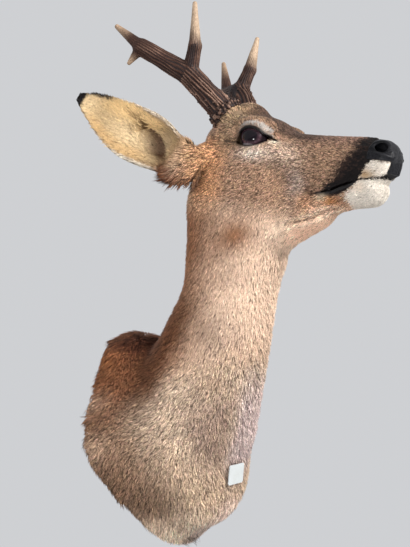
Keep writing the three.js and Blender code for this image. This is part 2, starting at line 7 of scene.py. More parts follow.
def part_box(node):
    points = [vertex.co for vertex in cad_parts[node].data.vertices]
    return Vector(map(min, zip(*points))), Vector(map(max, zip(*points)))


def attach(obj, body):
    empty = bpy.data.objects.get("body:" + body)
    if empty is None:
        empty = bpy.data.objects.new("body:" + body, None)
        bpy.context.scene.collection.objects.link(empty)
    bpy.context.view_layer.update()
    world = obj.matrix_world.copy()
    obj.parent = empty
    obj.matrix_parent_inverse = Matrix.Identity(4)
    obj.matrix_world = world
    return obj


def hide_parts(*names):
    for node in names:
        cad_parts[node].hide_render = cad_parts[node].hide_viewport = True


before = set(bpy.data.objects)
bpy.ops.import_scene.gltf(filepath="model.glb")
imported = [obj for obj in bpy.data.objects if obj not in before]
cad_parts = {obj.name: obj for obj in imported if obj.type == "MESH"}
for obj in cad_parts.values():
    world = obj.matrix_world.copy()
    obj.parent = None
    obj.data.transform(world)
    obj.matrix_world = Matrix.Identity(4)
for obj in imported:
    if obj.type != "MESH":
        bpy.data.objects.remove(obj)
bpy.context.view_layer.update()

MM = 0.001

# ---------------------------------------------------------------- camera: from the right front, a little below
def make_camera():
    az, el, roll = math.radians(-60), math.radians(-15), math.radians(17)
    focal, wide, high, origin, depth = 1250.0, 410.0, 547.0, (155.0, 438.0), 1.18
    d = -np.array([math.sin(az) * math.cos(el), -math.cos(az) * math.cos(el), math.sin(el)])
    r = np.cross(d, [0, 0, 1.0])
    r /= np.linalg.norm(r)
    u = np.cross(r, d)
    R = r * math.cos(roll) - u * math.sin(roll)
    U = r * math.sin(roll) + u * math.cos(roll)
    x, y = (origin[0] - wide / 2) / focal, -(origin[1] - high / 2) / focal
    at = -(R * x + U * y + d) * depth
    cam = bpy.data.objects.new("camera", bpy.data.cameras.new("camera"))
    bpy.context.scene.collection.objects.link(cam)
    cam.data.sensor_width = 36.0
    cam.data.lens = focal / high * 36.0
    cam.data.clip_start, cam.data.clip_end = 0.05, 60.0
    cam.matrix_world = Matrix([[R[0], U[0], -d[0], at[0]], [R[1], U[1], -d[1], at[1]], [R[2], U[2], -d[2], at[2]], [0, 0, 0, 1]])
    bpy.context.scene.camera = cam
    return R, U, d


CAM_R, CAM_U, CAM_D = make_camera()

# ---------------------------------------------------------------- sizes, in millimetres, as in the CAD
f32 = np.float32
HEAD_AT = np.array([0.0, -210.0, 212.5])
HEAD_PITCH = math.radians(29.5)
EYE_AT = (1.0, 27.5, -1.0)
EYE_R = 12.8
CP, SP = math.cos(HEAD_PITCH), math.sin(HEAD_PITCH)
HM = np.array([[0, -CP, -SP], [1, 0, 0], [0, -SP, CP]])  # rows: to the nose, to its left, up

ANTLERS = {
    "right": dict(coronet=(-23, -187, 248), fork=(-38, -172, 291), front=(-45, -203, 347), crown=(-58, -144, 330), top=(-66, -130, 357), rear=(-61, -128, 321)),
    "left": dict(coronet=(23, -187, 250), fork=(42, -176, 288), front=(56, -205, 335), crown=(68, -150, 304), top=(79, -151, 341), rear=(73, -138, 303)),
}
EARS = {"right": ((-54, -44, -33), (-147, -99, 15), -1), "left": ((-54, 44, -33), (-140, 104, -6), 1)}
BOARD = dict(half=85.0, low=-82.0, high=74.0, thick=16.0)


def to_head(p):
    return (np.asarray(p, float) - HEAD_AT) @ HM.T


def from_head(q):
    return HEAD_AT + np.asarray(q, float) @ HM


# ---------------------------------------------------------------- distance functions
def smin(a, b, k):
    h = np.maximum(k - np.abs(a - b), 0) / k
    return np.minimum(a, b) - h * h * h * (k / 6)


def smax(a, b, k):
    return -smin(-a, -b, k)


def ease(t):
    t = np.clip(t, 0, 1)
    return t * t * (3 - 2 * t)


def ramp(x, a, b):
    """0 at a, 1 at b, smooth between"""
    return ease((x - a) / (b - a))


def ell3(x, y, z, r):
    k0 = np.sqrt((x / r[0]) ** 2 + (y / r[1]) ** 2 + (z / r[2]) ** 2)
    k1 = np.sqrt((x / r[0] ** 2) ** 2 + (y / r[1] ** 2) ** 2 + (z / r[2] ** 2) ** 2)
    return k0 * (k0 - 1) / np.maximum(k1, 1e-9)


def ell(q, c, r):
    return ell3(q[:, 0] - c[0], q[:, 1] - c[1], q[:, 2] - c[2], r)


def ball(q, c, r):
    return np.sqrt((q[:, 0] - c[0]) ** 2 + (q[:, 1] - c[1]) ** 2 + (q[:, 2] - c[2]) ** 2) - r


def cone(q, a, b, ra, rb):
    a, b = np.asarray(a, float), np.asarray(b, float)
    ab = b - a
    w = q - a
    t = np.clip(w @ ab / (ab @ ab), 0, 1)
    w = w - t[:, None] * ab
    return np.sqrt((w * w).sum(1)) - (ra + (rb - ra) * t)


def spline(rows, n):
    rows = np.asarray(rows, float)
    out = []
    last = len(rows) - 1
    for i in range(last):
        p0, p1, p2, p3 = rows[max(i - 1, 0)], rows[i], rows[i + 1], rows[min(i + 2, last)]
        for k in range(n):
            t = k / n
            out.append(0.5 * (2 * p1 + (p2 - p0) * t + (2 * p0 - 5 * p1 + 4 * p2 - p3) * t * t + (3 * p1 - p0 - 3 * p2 + p3) * t**3))
    out.append(rows[last])
    return np.array(out)


def stations(path, across, deep):
    return spline([[p[0], p[1], a, d] for p, a, d in zip(path, across, deep)], 4)


def tube(a, b, c, st, n=2.0):
    """chain of elliptical stations in the plane of symmetry; a is across"""
    best = None
    a = np.abs(a)
    for A, B in zip(st[:-1], st[1:]):
        db, dc = B[0] - A[0], B[1] - A[1]
        t = np.clip(((b - A[0]) * db + (c - A[1]) * dc) / (db * db + dc * dc), 0, 1)
        r2 = (b - A[0] - t * db) ** 2 + (c - A[1] - t * dc) ** 2
        L = A[2] + (B[2] - A[2]) * t
        D = A[3] + (B[3] - A[3]) * t
        if n == 2.0:
            k0 = np.sqrt((a / L) ** 2 + r2 / (D * D))
        else:
            k0 = ((a / L) ** n + (np.sqrt(r2) / D) ** n) ** (1 / n)
        k1 = np.sqrt((a / (L * L)) ** 2 + r2 / D**4)
        d = k0 * (k0 - 1) / np.maximum(k1, 1e-9)
        best = d if best is None else np.minimum(best, d)
    return best


NECK_ST = stations([[-50, 8], [-86, 50], [-120, 92], [-142, 136], [-160, 172]], [66, 52, 43, 40, 38], [60, 53, 46, 47, 47])
THROAT_ST = stations([[-150, 128], [-178, 136], [-229, 131]], [36, 30, 17], [42, 29, 16])
MUZZLE_ST = stations([[0, -16], [40, -17], [75, -15.5], [104, -13], [113.5, -11.5]], [33, 27, 21.5, 19, 17.5], [26, 25.7, 25, 23.5, 19.5])
JAW_ST = stations([[-20, -50], [30, -52], [70, -43], [110, -36.2]], [24, 21, 17, 13.5], [24, 20, 15.5, 14.2])


def head_shape(q):
    m = q.copy()
    m[:, 1] = np.abs(m[:, 1])
    d = ell(m, (-29, 0, -8), (36, 33, 30))  # braincase
    d = smin(d, ell(m, (-8, 0, 0), (36, 31, 22)), 14)  # forehead
    d = smin(d, tube(q[:, 1], q[:, 0], q[:, 2], MUZZLE_ST), 14)
    d = smin(d, tube(q[:, 1], q[:, 0], q[:, 2], JAW_ST), 14)
    d = smin(d, ell(m, (-8, 23, -34), (38, 18, 36)), 16)  # cheek muscle
    d = smin(d, ell(m, (12, 27, -15), (28, 13, 12)), 12)  # cheekbone
    d = smin(d, ell(m, (0, 26.5, 9.5), (21, 10, 9)), 10)  # brow
    d = smin(d, ell(m, (-46, 0, -64), (21, 36, 30)), 16)  # muscle behind the ears
    d = smin(d, ball(m, (-46, 30, -22), 14), 14)  # root of the ear
    d = smin(d, cone(m, (-26, 18, 2), (-34, 21, 16), 14, 15), 8)  # pedicle
    d = smin(d, ell(m, (-26, 0, 14), (24, 17, 20)), 8)  # crest of hair between the antlers
    d = smin(d, ell(m, (117.5, 0, -7.5), (12, 17.5, 16.5)), 6)  # nose pad
    return d


def trunk_shape(p):
    up = ramp(p[:, 2], -35, 95)
    dn = ramp(p[:, 2], -20, -100)
    w = (1 - 0.26 * up) * (1 - 0.07 * dn)
    d = ell3(p[:, 0] / w, p[:, 1] - 8, p[:, 2] + 6, (115, 58, 98))
    d = smin(d, ell(p, (0, -36, -20), (74, 43, 74)), 34)
    d = smin(d, ell(p, (0, -8, 38), (62, 42, 67)), 26)
    # the skin is drawn in towards the bottom, where it ends in a point
    return smax(d, (np.abs(p[:, 0]) * 0.72 - p[:, 2] * 0.694) - 98, 24)


def flesh(p):
    """outline of the animal out to the tips of its coat, without the ears"""
    p = np.asarray(p, float)
    d = smin(trunk_shape(p), tube(p[:, 0], p[:, 1], p[:, 2], NECK_ST), 24)
    d = smin(d, tube(p[:, 0], p[:, 1], p[:, 2], THROAT_ST), 20)
    return smin(d, head_shape(to_head(p)), 22)


# ---------------------------------------------------------------- noise
def _lattice(ix, iy, iz, seed):
    h = (ix * 73856093) ^ (iy * 19349663) ^ (iz * 83492791) ^ (seed * 40503 + 1013)
    h = (h ^ (h >> 13)) * 1274126177
    h = h & 0xFFFFFFFF
    h = (h ^ (h >> 15)) * 2246822519
    h = h & 0xFFFFFFFF
    return ((h >> 8) & 0xFFFF) / 65535.0


def noise(p, size, seed=0):
    """smooth random field, 0 to 1; size is one number or three"""
    q = np.asarray(p, float) / np.asarray(size, float)
    i = np.floor(q).astype(np.int64)
    f = q - i
    f = f * f * (3 - 2 * f)
    out = 0
    for a in (0, 1):
        for b in (0, 1):
            for c in (0, 1):
                w = (f[:, 0] if a else 1 - f[:, 0]) * (f[:, 1] if b else 1 - f[:, 1]) * (f[:, 2] if c else 1 - f[:, 2])
                out = out + w * _lattice(i[:, 0] + a, i[:, 1] + b, i[:, 2] + c, seed)
    return out


def octaves(p, size, seed=0, n=3):
    out, total, amp = 0, 0, 1.0
    size = np.asarray(size, float)
    for k in range(n):
        out = out + amp * noise(p, size / 2**k, seed + 17 * k)
        total += amp
        amp *= 0.55
    return out / total


def unit(v):
    return v / np.maximum(np.linalg.norm(v, axis=-1, keepdims=True), 1e-9)


def near_line(q, line, k=4):
    """distance to a smooth line through a few points, and how far along it, 0 to 1"""
    pts = spline(line, k) if len(line) > 2 else np.asarray(line, float)
    best = np.full(len(q), 1e9)
    along = np.zeros(len(q))
    n = len(pts) - 1
    for i in range(n):
        a, ab = pts[i], pts[i + 1] - pts[i]
        w = q - a
        t = np.clip(w @ ab / (ab @ ab), 0, 1)
        d = np.sqrt(((w - t[:, None] * ab) ** 2).sum(1))
        m = d < best
        best[m] = d[m]
        along[m] = (i + t[m]) / n
    return best, along


# ---------------------------------------------------------------- skin: the flesh less the depth of the coat, with its features
# eye: the frame of the opening, and the edges of the lids in it
EYE_OUT = unit(np.array([0.13, 0.985, 0.04]))
EYE_FWD = unit(np.array([1.0, 0, 0]) - EYE_OUT * EYE_OUT[0])
EYE_UP = np.cross(EYE_FWD, EYE_OUT) * -1.0
if EYE_UP[2] < 0:
    EYE_UP = -EYE_UP
LID_A = [-14.5, -12.8, -10, -6, -1, 4, 8, 11.5, 14.5, 19, 24]
LID_TOP = [-6.2, -2.2, 1.9, 4.6, 5.7, 5.3, 3.8, 1.6, -0.1, -0.8, -1.2]
LID_LOW = [-6.6, -8.2, -8.9, -9.3, -9.2, -8.5, -7.0, -5.0, -3.0, -1.9, -1.9]
MOUTH_S = [60, 64, 75, 89, 101, 112, 121, 128, 136]
MOUTH_U = [-45.5, -43.8, -40.0, -33.3, -27.6, -26.4, -24.2, -21.4, -20.0]
TEAR = [(13, 31.5, -1.0), (20, 28.5, -1.2), (26.4, 23.8, -0.2)]
TEAR_END = [(27.2, 22.5, 3.0), (27.6, 25.0, -3.0), (26.6, 29.5, -8.0)]
LID_FOLD = [(-14, 34, 6), (-8.5, 36.2, 11.1), (2, 37, 13.2), (10.8, 35.4, 11.5), (19.5, 27.6, 5.9), (25.1, 21.9, 1.8)]
JAW_FOLD = [(84, 4.0, -53), (74.6, 8.8, -56.6), (59.8, 14.8, -66.8), (32.9, 24.5, -78.6), (23.2, 28, -94.2)]
CHEEK_CREASE = [(-34, 38.8, -14), (-32, 40, -36), (-28.4, 39.9, -60)]
SCRATCH = [(-29.6, -151.9, 82.4), (-22, -150, 66), (-17.5, -145.7, 53.1), (-22.9, -131.8, 35.5)]


def mouth_u(s):
    return np.interp(s, MOUTH_S, MOUTH_U)


def eye_coords(m):
    w = m - np.array(EYE_AT)
    return w @ EYE_FWD, w @ EYE_UP, w @ EYE_OUT, np.sqrt((w * w).sum(1))


def lid_gap(a, b):
    """below 0 inside the opening between the lids"""
    return np.maximum(b - np.interp(a, LID_A, LID_TOP), np.interp(a, LID_A, LID_LOW) - b)


EAR_T = [-0.06, 0.15, 0.35, 0.55, 0.75, 0.9, 1.0]
EAR_HALF = [13, 19, 25, 25, 18.5, 11, 4]
EAR_DEEP = [14, 18, 17, 13, 9.5, 6.5, 4.5]
EAR_BACK = [-3, -1, 2, 3, 2, 0, 0]
EAR_UP = [0, 0, 0, 1.5, 1, 0, 0]
_ear = spline(np.stack([EAR_T, EAR_HALF, EAR_DEEP, EAR_BACK, EAR_UP], 1), 4)


def ear_frame(side):
    root, tip, s = EARS[side]
    b, t = from_head(root), from_head(tip)
    ax = t - b
    long = np.linalg.norm(ax)
    ax = ax / long
    n = np.array([0.55, 0.83 * s, 0.02]) @ HM
    n = unit(n - ax * (n @ ax))
    w = np.cross(ax, n) * s
    return b, ax, w, n, long


def ear_coords(p, side):
    """share of the way to the tip, across (the front edge is minus), out of the opening; half width and depth there"""
    b, ax, w, n, long = ear_frame(side)
    q = p - b
    t = (q @ ax) / long
    hw, dp, back, up = (np.interp(t, _ear[:, 0], _ear[:, k]) for k in (1, 2, 3, 4))
    return t, q @ w - up, q @ n + back, hw, dp, long


def ear_shape(p, side, inset):
    t, a, v, hw, dp, long = ear_coords(p, side)
    hw, dp = np.maximum(hw - inset, 1.2), np.maximum(dp - inset, 1.2)
    size = np.minimum(hw, dp)
    out = (np.sqrt((a / hw) ** 2 + (np.minimum(v, 0) / dp) ** 2) - 1) * size * 0.9
    out = smax(out, v - 0.3, 1.6)
    out = np.maximum(out, np.maximum(t - 1, -t - 0.08) * long)
    # the shell is thin at the tip and thicker low down; the hollow is deep only towards the root, under the front edge
    wall = np.interp(t, [0, 0.3, 0.6, 1], [4.2, 3.6, 2.8, 2.2])
    rim = np.interp(t, [0, 0.3, 0.6, 1], [3.0, 2.4, 2.0, 1.6])
    hi = np.maximum(hw - rim, 0.8)
    share = np.interp(t, [0.05, 0.22, 0.45, 0.7, 1.0], [0.95, 0.98, 0.74, 0.62, 0.6])
    di = np.maximum((dp - wall) * share, 0.8)
    cav = (np.sqrt((a / hi) ** 2 + (np.minimum(v, 0) / di) ** 2) - 1) * np.minimum(hi, di) * 0.9
    cav = np.maximum(cav, np.maximum(0.13 - t, t - 1.2) * long)
    deep = ell3((t - 0.31) * long, a + 3.0, v + 7.5, (20, 12.5, 11))
    cav = smin(cav, np.maximum(deep, out + 2.0), 3)
    return smax(out, -cav, 1.4)


def coat_depth(p, q):
    """how far the skin lies under the tips of the coat"""
    face = ramp(q[:, 0], -62, -18) * ramp(q[:, 2], -104, -58)
    body = np.interp(p[:, 2], [-100, -40, 60, 120], [7.5, 7.0, 6.5, 5.5])
    return body * (1 - face) + 1.3 * face


def features(q, d):
    """lids, nostrils, lips and folds on the head; q in the head's frame, d the plain surface"""
    m = q.copy()
    m[:, 1] = np.abs(m[:, 1])
    s, l, u = m[:, 0], m[:, 1], m[:, 2]
    # lids wrap over the eyeball
    a, b, o, r = eye_coords(m)
    lids = np.maximum(r - (EYE_R + 1.9), -o)
    d = smin(d, lids, 5)
    gap = lid_gap(a, b)
    band = np.exp(-((gap - 2.2) / 1.9) ** 2) * (o > 0)
    d = d - 0.75 * band
    d = smax(d, -np.maximum(np.maximum(gap, r - (EYE_R + 7)), -o), 1.0)
    d = np.maximum(d, -(r - (EYE_R + 0.25)))
    # tear line running down to the gland in front of the eye
    t1, _ = near_line(m, TEAR)
    t2, _ = near_line(m, TEAR_END)
    d = d + 1.7 * np.exp(-((t1 / 1.5) ** 2)) + 1.2 * np.exp(-((t2 / 1.6) ** 2))
    f1, w1 = near_line(m, LID_FOLD)
    d = d + 0.8 * np.exp(-((f1 / 1.4) ** 2)) * np.sin(np.pi * np.clip(w1 * 1.1, 0, 1))
    # nostril: a round hole with a tail running down and forward
    hole = ell(m, (118.6, 15.2, 1.6), (6.4, 6.0, 5.4))
    hole = smin(hole, cone(m, (121, 15.5, -2.0), (128.5, 12.6, -4.4), 2.4, 1.0), 1.5)
    hole = smin(hole, cone(m, (118, 12, 1), (106, 7.5, -3), 4.6, 2.6), 3)
    rim = np.exp(-(((hole - 2.2) / 1.8) ** 2)) * (s > 104)
    d = d - 0.95 * rim
    d = smax(d, -hole, 1.3)
    # groove in the middle of the nose and lip
    mid = np.exp(-((l / 1.3) ** 2)) * ramp(s, 118, 126) * ramp(u, 4, -4)
    d = d + 0.9 * mid
    # mouth: a slit all round the front from corner to corner, with full lips
    mu = mouth_u(s)
    # the lower lip stands a little behind the upper
    d = d + 2.1 * ramp(s, 112, 121) * ramp(mu - u, 0.0, 1.5) * ramp(u, -36.5, -28)
    lip = (s > 55) * np.exp(-(((u - mu) / 3.4) ** 2)) * ramp(s, 58, 76)
    d = d - 0.9 * lip
    slit = np.maximum(np.abs(u - mu) - 0.75 * ramp(s, 60, 80) - 0.1, np.maximum(-(d + 5.0), 61 - s))
    d = smax(d, -slit, 1.2)
    # folds of skin
    j1, jw = near_line(m, JAW_FOLD)
    d = d + 1.5 * np.exp(-((j1 / 1.8) ** 2)) - 0.9 * np.exp(-(((j1 - 4) / 2.6) ** 2)) * (u > -100)
    c1, cw = near_line(m, CHEEK_CREASE)
    d = d + 0.8 * np.exp(-((c1 / 1.3) ** 2)) * np.sin(np.pi * cw)
    # bone and muscle under the short hair of the face
    d = d + 0.9 * np.exp(-(((s - 38) / 12) ** 2 + ((l - 17) / 7) ** 2 + ((u + 3) / 8) ** 2))
    d = d - 0.9 * np.exp(-(((s - 46) / 24) ** 2 + ((l - 21) / 6) ** 2 + ((u + 22) / 7) ** 2))
    return d


def skin_shape(p):
    p = np.asarray(p, float)
    q = to_head(p)
    d = flesh(p) + coat_depth(p, q)
    head = (q[:, 0] > -64) & (q[:, 2] > -108)
    if head.any():
        d[head] = features(q[head], d[head])
    for side in EARS:
        b, ax, w, n, long = ear_frame(side)
        c = b + ax * long * 0.5
        near = ((p - c) ** 2).sum(1) < (long * 0.5 + 42) ** 2
        if near.any():
            e = ear_shape(p[near], side, 0.7)
            d[near] = smin(d[near], e, 7)
    # the neck and shoulders are a little uneven, as stuffed skin is
    soft = ramp(q[:, 2], -60, -110) * ramp(p[:, 1], -1, -25)
    d = d + soft * 1.5 * (octaves(p, 34, 5, 2) - 0.5)
    # open at the back for the board
    zc, half = (BOARD["high"] + BOARD["low"]) / 2, (BOARD["high"] - BOARD["low"]) / 2 + 1.2
    up = ramp(p[:, 2], -35, 95)
    k = np.sqrt((p[:, 0] / ((BOARD["half"] + 1.2) * (1 - 0.24 * up))) ** 2 + ((p[:, 2] - zc) / half) ** 2)
    pocket = np.maximum((k - 1) * 76, -(p[:, 1] + BOARD["thick"] + 1.0))
    d = smax(d, p[:, 1] + 0.6, 3.0)
    return np.maximum(d, -pocket)


# ---------------------------------------------------------------- meshing
def sample(fn, axes, margin=6.0, block=4):
    """fn on a grid of uneven lines, worked out only near its surface"""
    n = [len(a) for a in axes]
    cuts = [np.arange(0, k, block) for k in n]
    lo = [a[c] for a, c in zip(axes, cuts)]
    hi = [a[np.minimum(c + block, k - 1)] for a, c, k in zip(axes, cuts, n)]
    mid = [(x + y) / 2 for x, y in zip(lo, hi)]
    rad = [(y - x) / 2 for x, y in zip(lo, hi)]
    g = np.stack(np.meshgrid(*mid, indexing="ij"), -1).reshape(-1, 3)
    r = np.sqrt(sum(x * x for x in np.meshgrid(*rad, indexing="ij")))
    c = fn(g).reshape(r.shape)
    near = np.abs(c) < r * 1.15 + margin
    D = np.repeat(np.repeat(np.repeat(c, block, 0), block, 1), block, 2)[: n[0], : n[1], : n[2]].astype(f32)
    m = np.repeat(np.repeat(np.repeat(near, block, 0), block, 1), block, 2)[: n[0], : n[1], : n[2]]
    # one line beyond each near block too
    for ax in range(3):
        e = np.roll(m, 1, ax)
        np.moveaxis(e, ax, 0)[0] = False
        m = m | e
    w = np.argwhere(m)
    vals = np.empty(len(w), f32)
    for k in range(0, len(w), 300000):
        i = w[k : k + 300000]
        vals[k : k + 300000] = fn(np.stack([axes[0][i[:, 0]], axes[1][i[:, 1]], axes[2][i[:, 2]]], 1))
    D[w[:, 0], w[:, 1], w[:, 2]] = vals
    return D


CORNERS = np.array([(i, j, k) for i in (0, 1) for j in (0, 1) for k in (0, 1)])


def nets(D, axes):
    """one vertex in each crossed cell, one quad on each crossed edge"""
    S = D < 0
    nx, ny, nz = D.shape
    c = [S[i : nx - 1 + i, j : ny - 1 + j, k : nz - 1 + k] for i, j, k in CORNERS]
    some, every = c[0].copy(), c[0].copy()
    for x in c[1:]:
        some |= x
        every &= x
    act = some & ~every
    cells = np.argwhere(act)
    ids = np.full(act.shape, -1, np.int64)
    ids[act] = np.arange(len(cells))
    vals = np.stack([D[cells[:, 0] + o[0], cells[:, 1] + o[1], cells[:, 2] + o[2]] for o in CORNERS], 1)
    acc, cnt = np.zeros((len(cells), 3)), np.zeros(len(cells))
    for a in range(8):
        for b in range(a + 1, 8):
            if np.abs(CORNERS[a] - CORNERS[b]).sum() != 1:
                continue
            va, vb = vals[:, a], vals[:, b]
            m = (va < 0) != (vb < 0)
            t = np.where(m, va / np.where(m, va - vb, 1), 0)
            acc += (CORNERS[a] + (CORNERS[b] - CORNERS[a]) * t[:, None]) * m[:, None]
            cnt += m
    f = acc / np.maximum(cnt, 1)[:, None]
    V = np.stack([axes[k][cells[:, k]] + f[:, k] * (axes[k][cells[:, k] + 1] - axes[k][cells[:, k]]) for k in range(3)], 1)
    quads = []
    for ax in range(3):
        o = [0, 0, 0]
        o[ax] = 1
        A, B = S[: nx - o[0], : ny - o[1], : nz - o[2]], S[o[0] :, o[1] :, o[2] :]
        u, v = [(1, 2), (2, 0), (0, 1)][ax]
        for out in (1, 0):
            e = np.argwhere((A & ~B) if out else (~A & B))
            e = e[(e[:, u] > 0) & (e[:, v] > 0) & (e[:, u] < D.shape[u] - 1) & (e[:, v] < D.shape[v] - 1)]

            def cell(du, dv):
                q = e.copy()
                q[:, u] -= du
                q[:, v] -= dv
                return ids[q[:, 0], q[:, 1], q[:, 2]]

            q = np.stack([cell(1, 1), cell(0, 1), cell(0, 0), cell(1, 0)], 1)
            quads.append(q if out else q[:, ::-1])
    return V, np.concatenate(quads)


def gradient(fn, V, eps=0.3):
    g = np.empty_like(V)
    for k in range(3):
        e = np.zeros(3)
        e[k] = eps
        g[:, k] = (fn(V + e) - fn(V - e)) / (2 * eps)
    return g


def settle(fn, V, steps=2, most=0.8):
    V = V.copy()
    for _ in range(steps):
        d = fn(V)
        g = gradient(fn, V)
        V -= np.clip(d / np.maximum((g * g).sum(1), 0.15), -most, most)[:, None] * g
    return V


def graded(stops):
    """grid lines from stops [start, (end, step), ...]"""
    out = [stops[0]]
    for end, step in stops[1:]:
        n = max(1, int(round((end - out[-1]) / step)))
        out += list(out[-1] + (end - out[-1]) * np.arange(1, n + 1) / n)
    return np.array(out, float)


def biggest(V, F):
    """the faces of the largest connected piece"""
    label = np.arange(len(V))
    for _ in range(200):
        low = label[F].min(1)
        new = label.copy()
        for k in range(F.shape[1]):
            np.minimum.at(new, F[:, k], low)
        new = new[new]
        if (new == label).all():
            break
        label = new
    roots, count = np.unique(label[F[:, 0]], return_counts=True)
    keep = label[F[:, 0]] == roots[np.argmax(count)]
    F = F[keep]
    used = np.unique(F)
    back = np.full(len(V), -1, np.int64)
    back[used] = np.arange(len(used))
    return V[used], back[F]


# ---------------------------------------------------------------- markings of the coat
BACK_AND_SHADE = (0.125, 0.065, 0.037)
FLANK = (0.505, 0.381, 0.281)
BELLY = (0.460, 0.331, 0.230)
WITHERS_TUFT = (0.104, 0.035, 0.017)
BRISKET = (0.580, 0.453, 0.443)
SADDLE = (0.133, 0.052, 0.023)
DUSK = (0.239, 0.161, 0.127)
POINT = (0.831, 0.628, 0.470)
SHADE = (0.200, 0.120, 0.075)
HEM = (0.720, 0.520, 0.440)
NECK_SIDE = (0.388, 0.235, 0.154)
NECK_FRONT = (0.716, 0.513, 0.381)
NAPE = (0.275, 0.125, 0.063)
RUST = (0.248, 0.113, 0.055)
CHEEK = (0.343, 0.209, 0.137)
CHEEK_REAR = (0.597, 0.303, 0.155)
UNDER_EYE = (0.681, 0.545, 0.449)
MUZZLE_SIDE = (0.290, 0.179, 0.117)
MUZZLE_TOP = (0.225, 0.135, 0.099)
CROWN = (0.085, 0.052, 0.039)
OLIVE = (0.292, 0.198, 0.123)
LID_BAND = (0.372, 0.342, 0.317)
MUZZLE_BROWN = (0.036, 0.019, 0.014)
BLACK = (0.007, 0.005, 0.005)
WHITE = (0.674, 0.612, 0.533)
YELLOW = (0.345, 0.205, 0.088)
JAW_TAN = (0.804, 0.516, 0.369)
EAR_GOLD = (0.392, 0.275, 0.145)
EAR_CREAM = (0.717, 0.542, 0.324)
EAR_DARK_AND_SHADE = (0.041, 0.011, 0.002)
EAR_BACK_TAN = (0.300, 0.205, 0.135)
EAR_ROOT = (0.447, 0.267, 0.146)
EAR_FOOT = (0.112, 0.036, 0.014)

BROW_AT = (15.5, 31.0, 14.0)
NOSE_S = [64, 68, 76, 85, 90, 96, 97, 99]  # rear edge of the black on the muzzle
NOSE_U = [-46, -41, -31, -16, -11, -4, 4, 8]


def put(c, colour, w):
    w = np.clip(w, 0, 1)[:, None]
    return c * (1 - w) + np.array(colour) * w


def spot(m, at, r):
    r = np.asarray(r, float) * np.ones(3)
    return np.exp(-(((m - np.array(at, float)) / r) ** 2).sum(1))


def ear_zone(p):
    """for each point: side (-1, 0, 1), share of the way to the tip, across, out, how far out in the cross-section"""
    side = np.zeros(len(p), int)
    T, A, K, VV = (np.zeros(len(p)) for _ in range(4))
    for name in EARS:
        b, ax, w, n, long = ear_frame(name)
        c = b + ax * long * 0.5
        near = np.nonzero(((p - c) ** 2).sum(1) < (long * 0.5 + 30) ** 2)[0]
        if not len(near):
            continue
        t, a, v, hw, dp, _ = ear_coords(p[near], name)
        e = ear_shape(p[near], name, 0.7)
        f = head_shape(to_head(p[near]))
        ok = (e < 3.0) & (f > 0.0) & (t > 0.02)
        i = near[ok]
        side[i] = EARS[name][2]
        T[i], A[i] = t[ok], (a / hw)[ok]
        VV[i] = v[ok]
        K[i] = np.sqrt((a / hw) ** 2 + (np.minimum(v, 0) / dp) ** 2)[ok]
    return side, T, A, K, VV


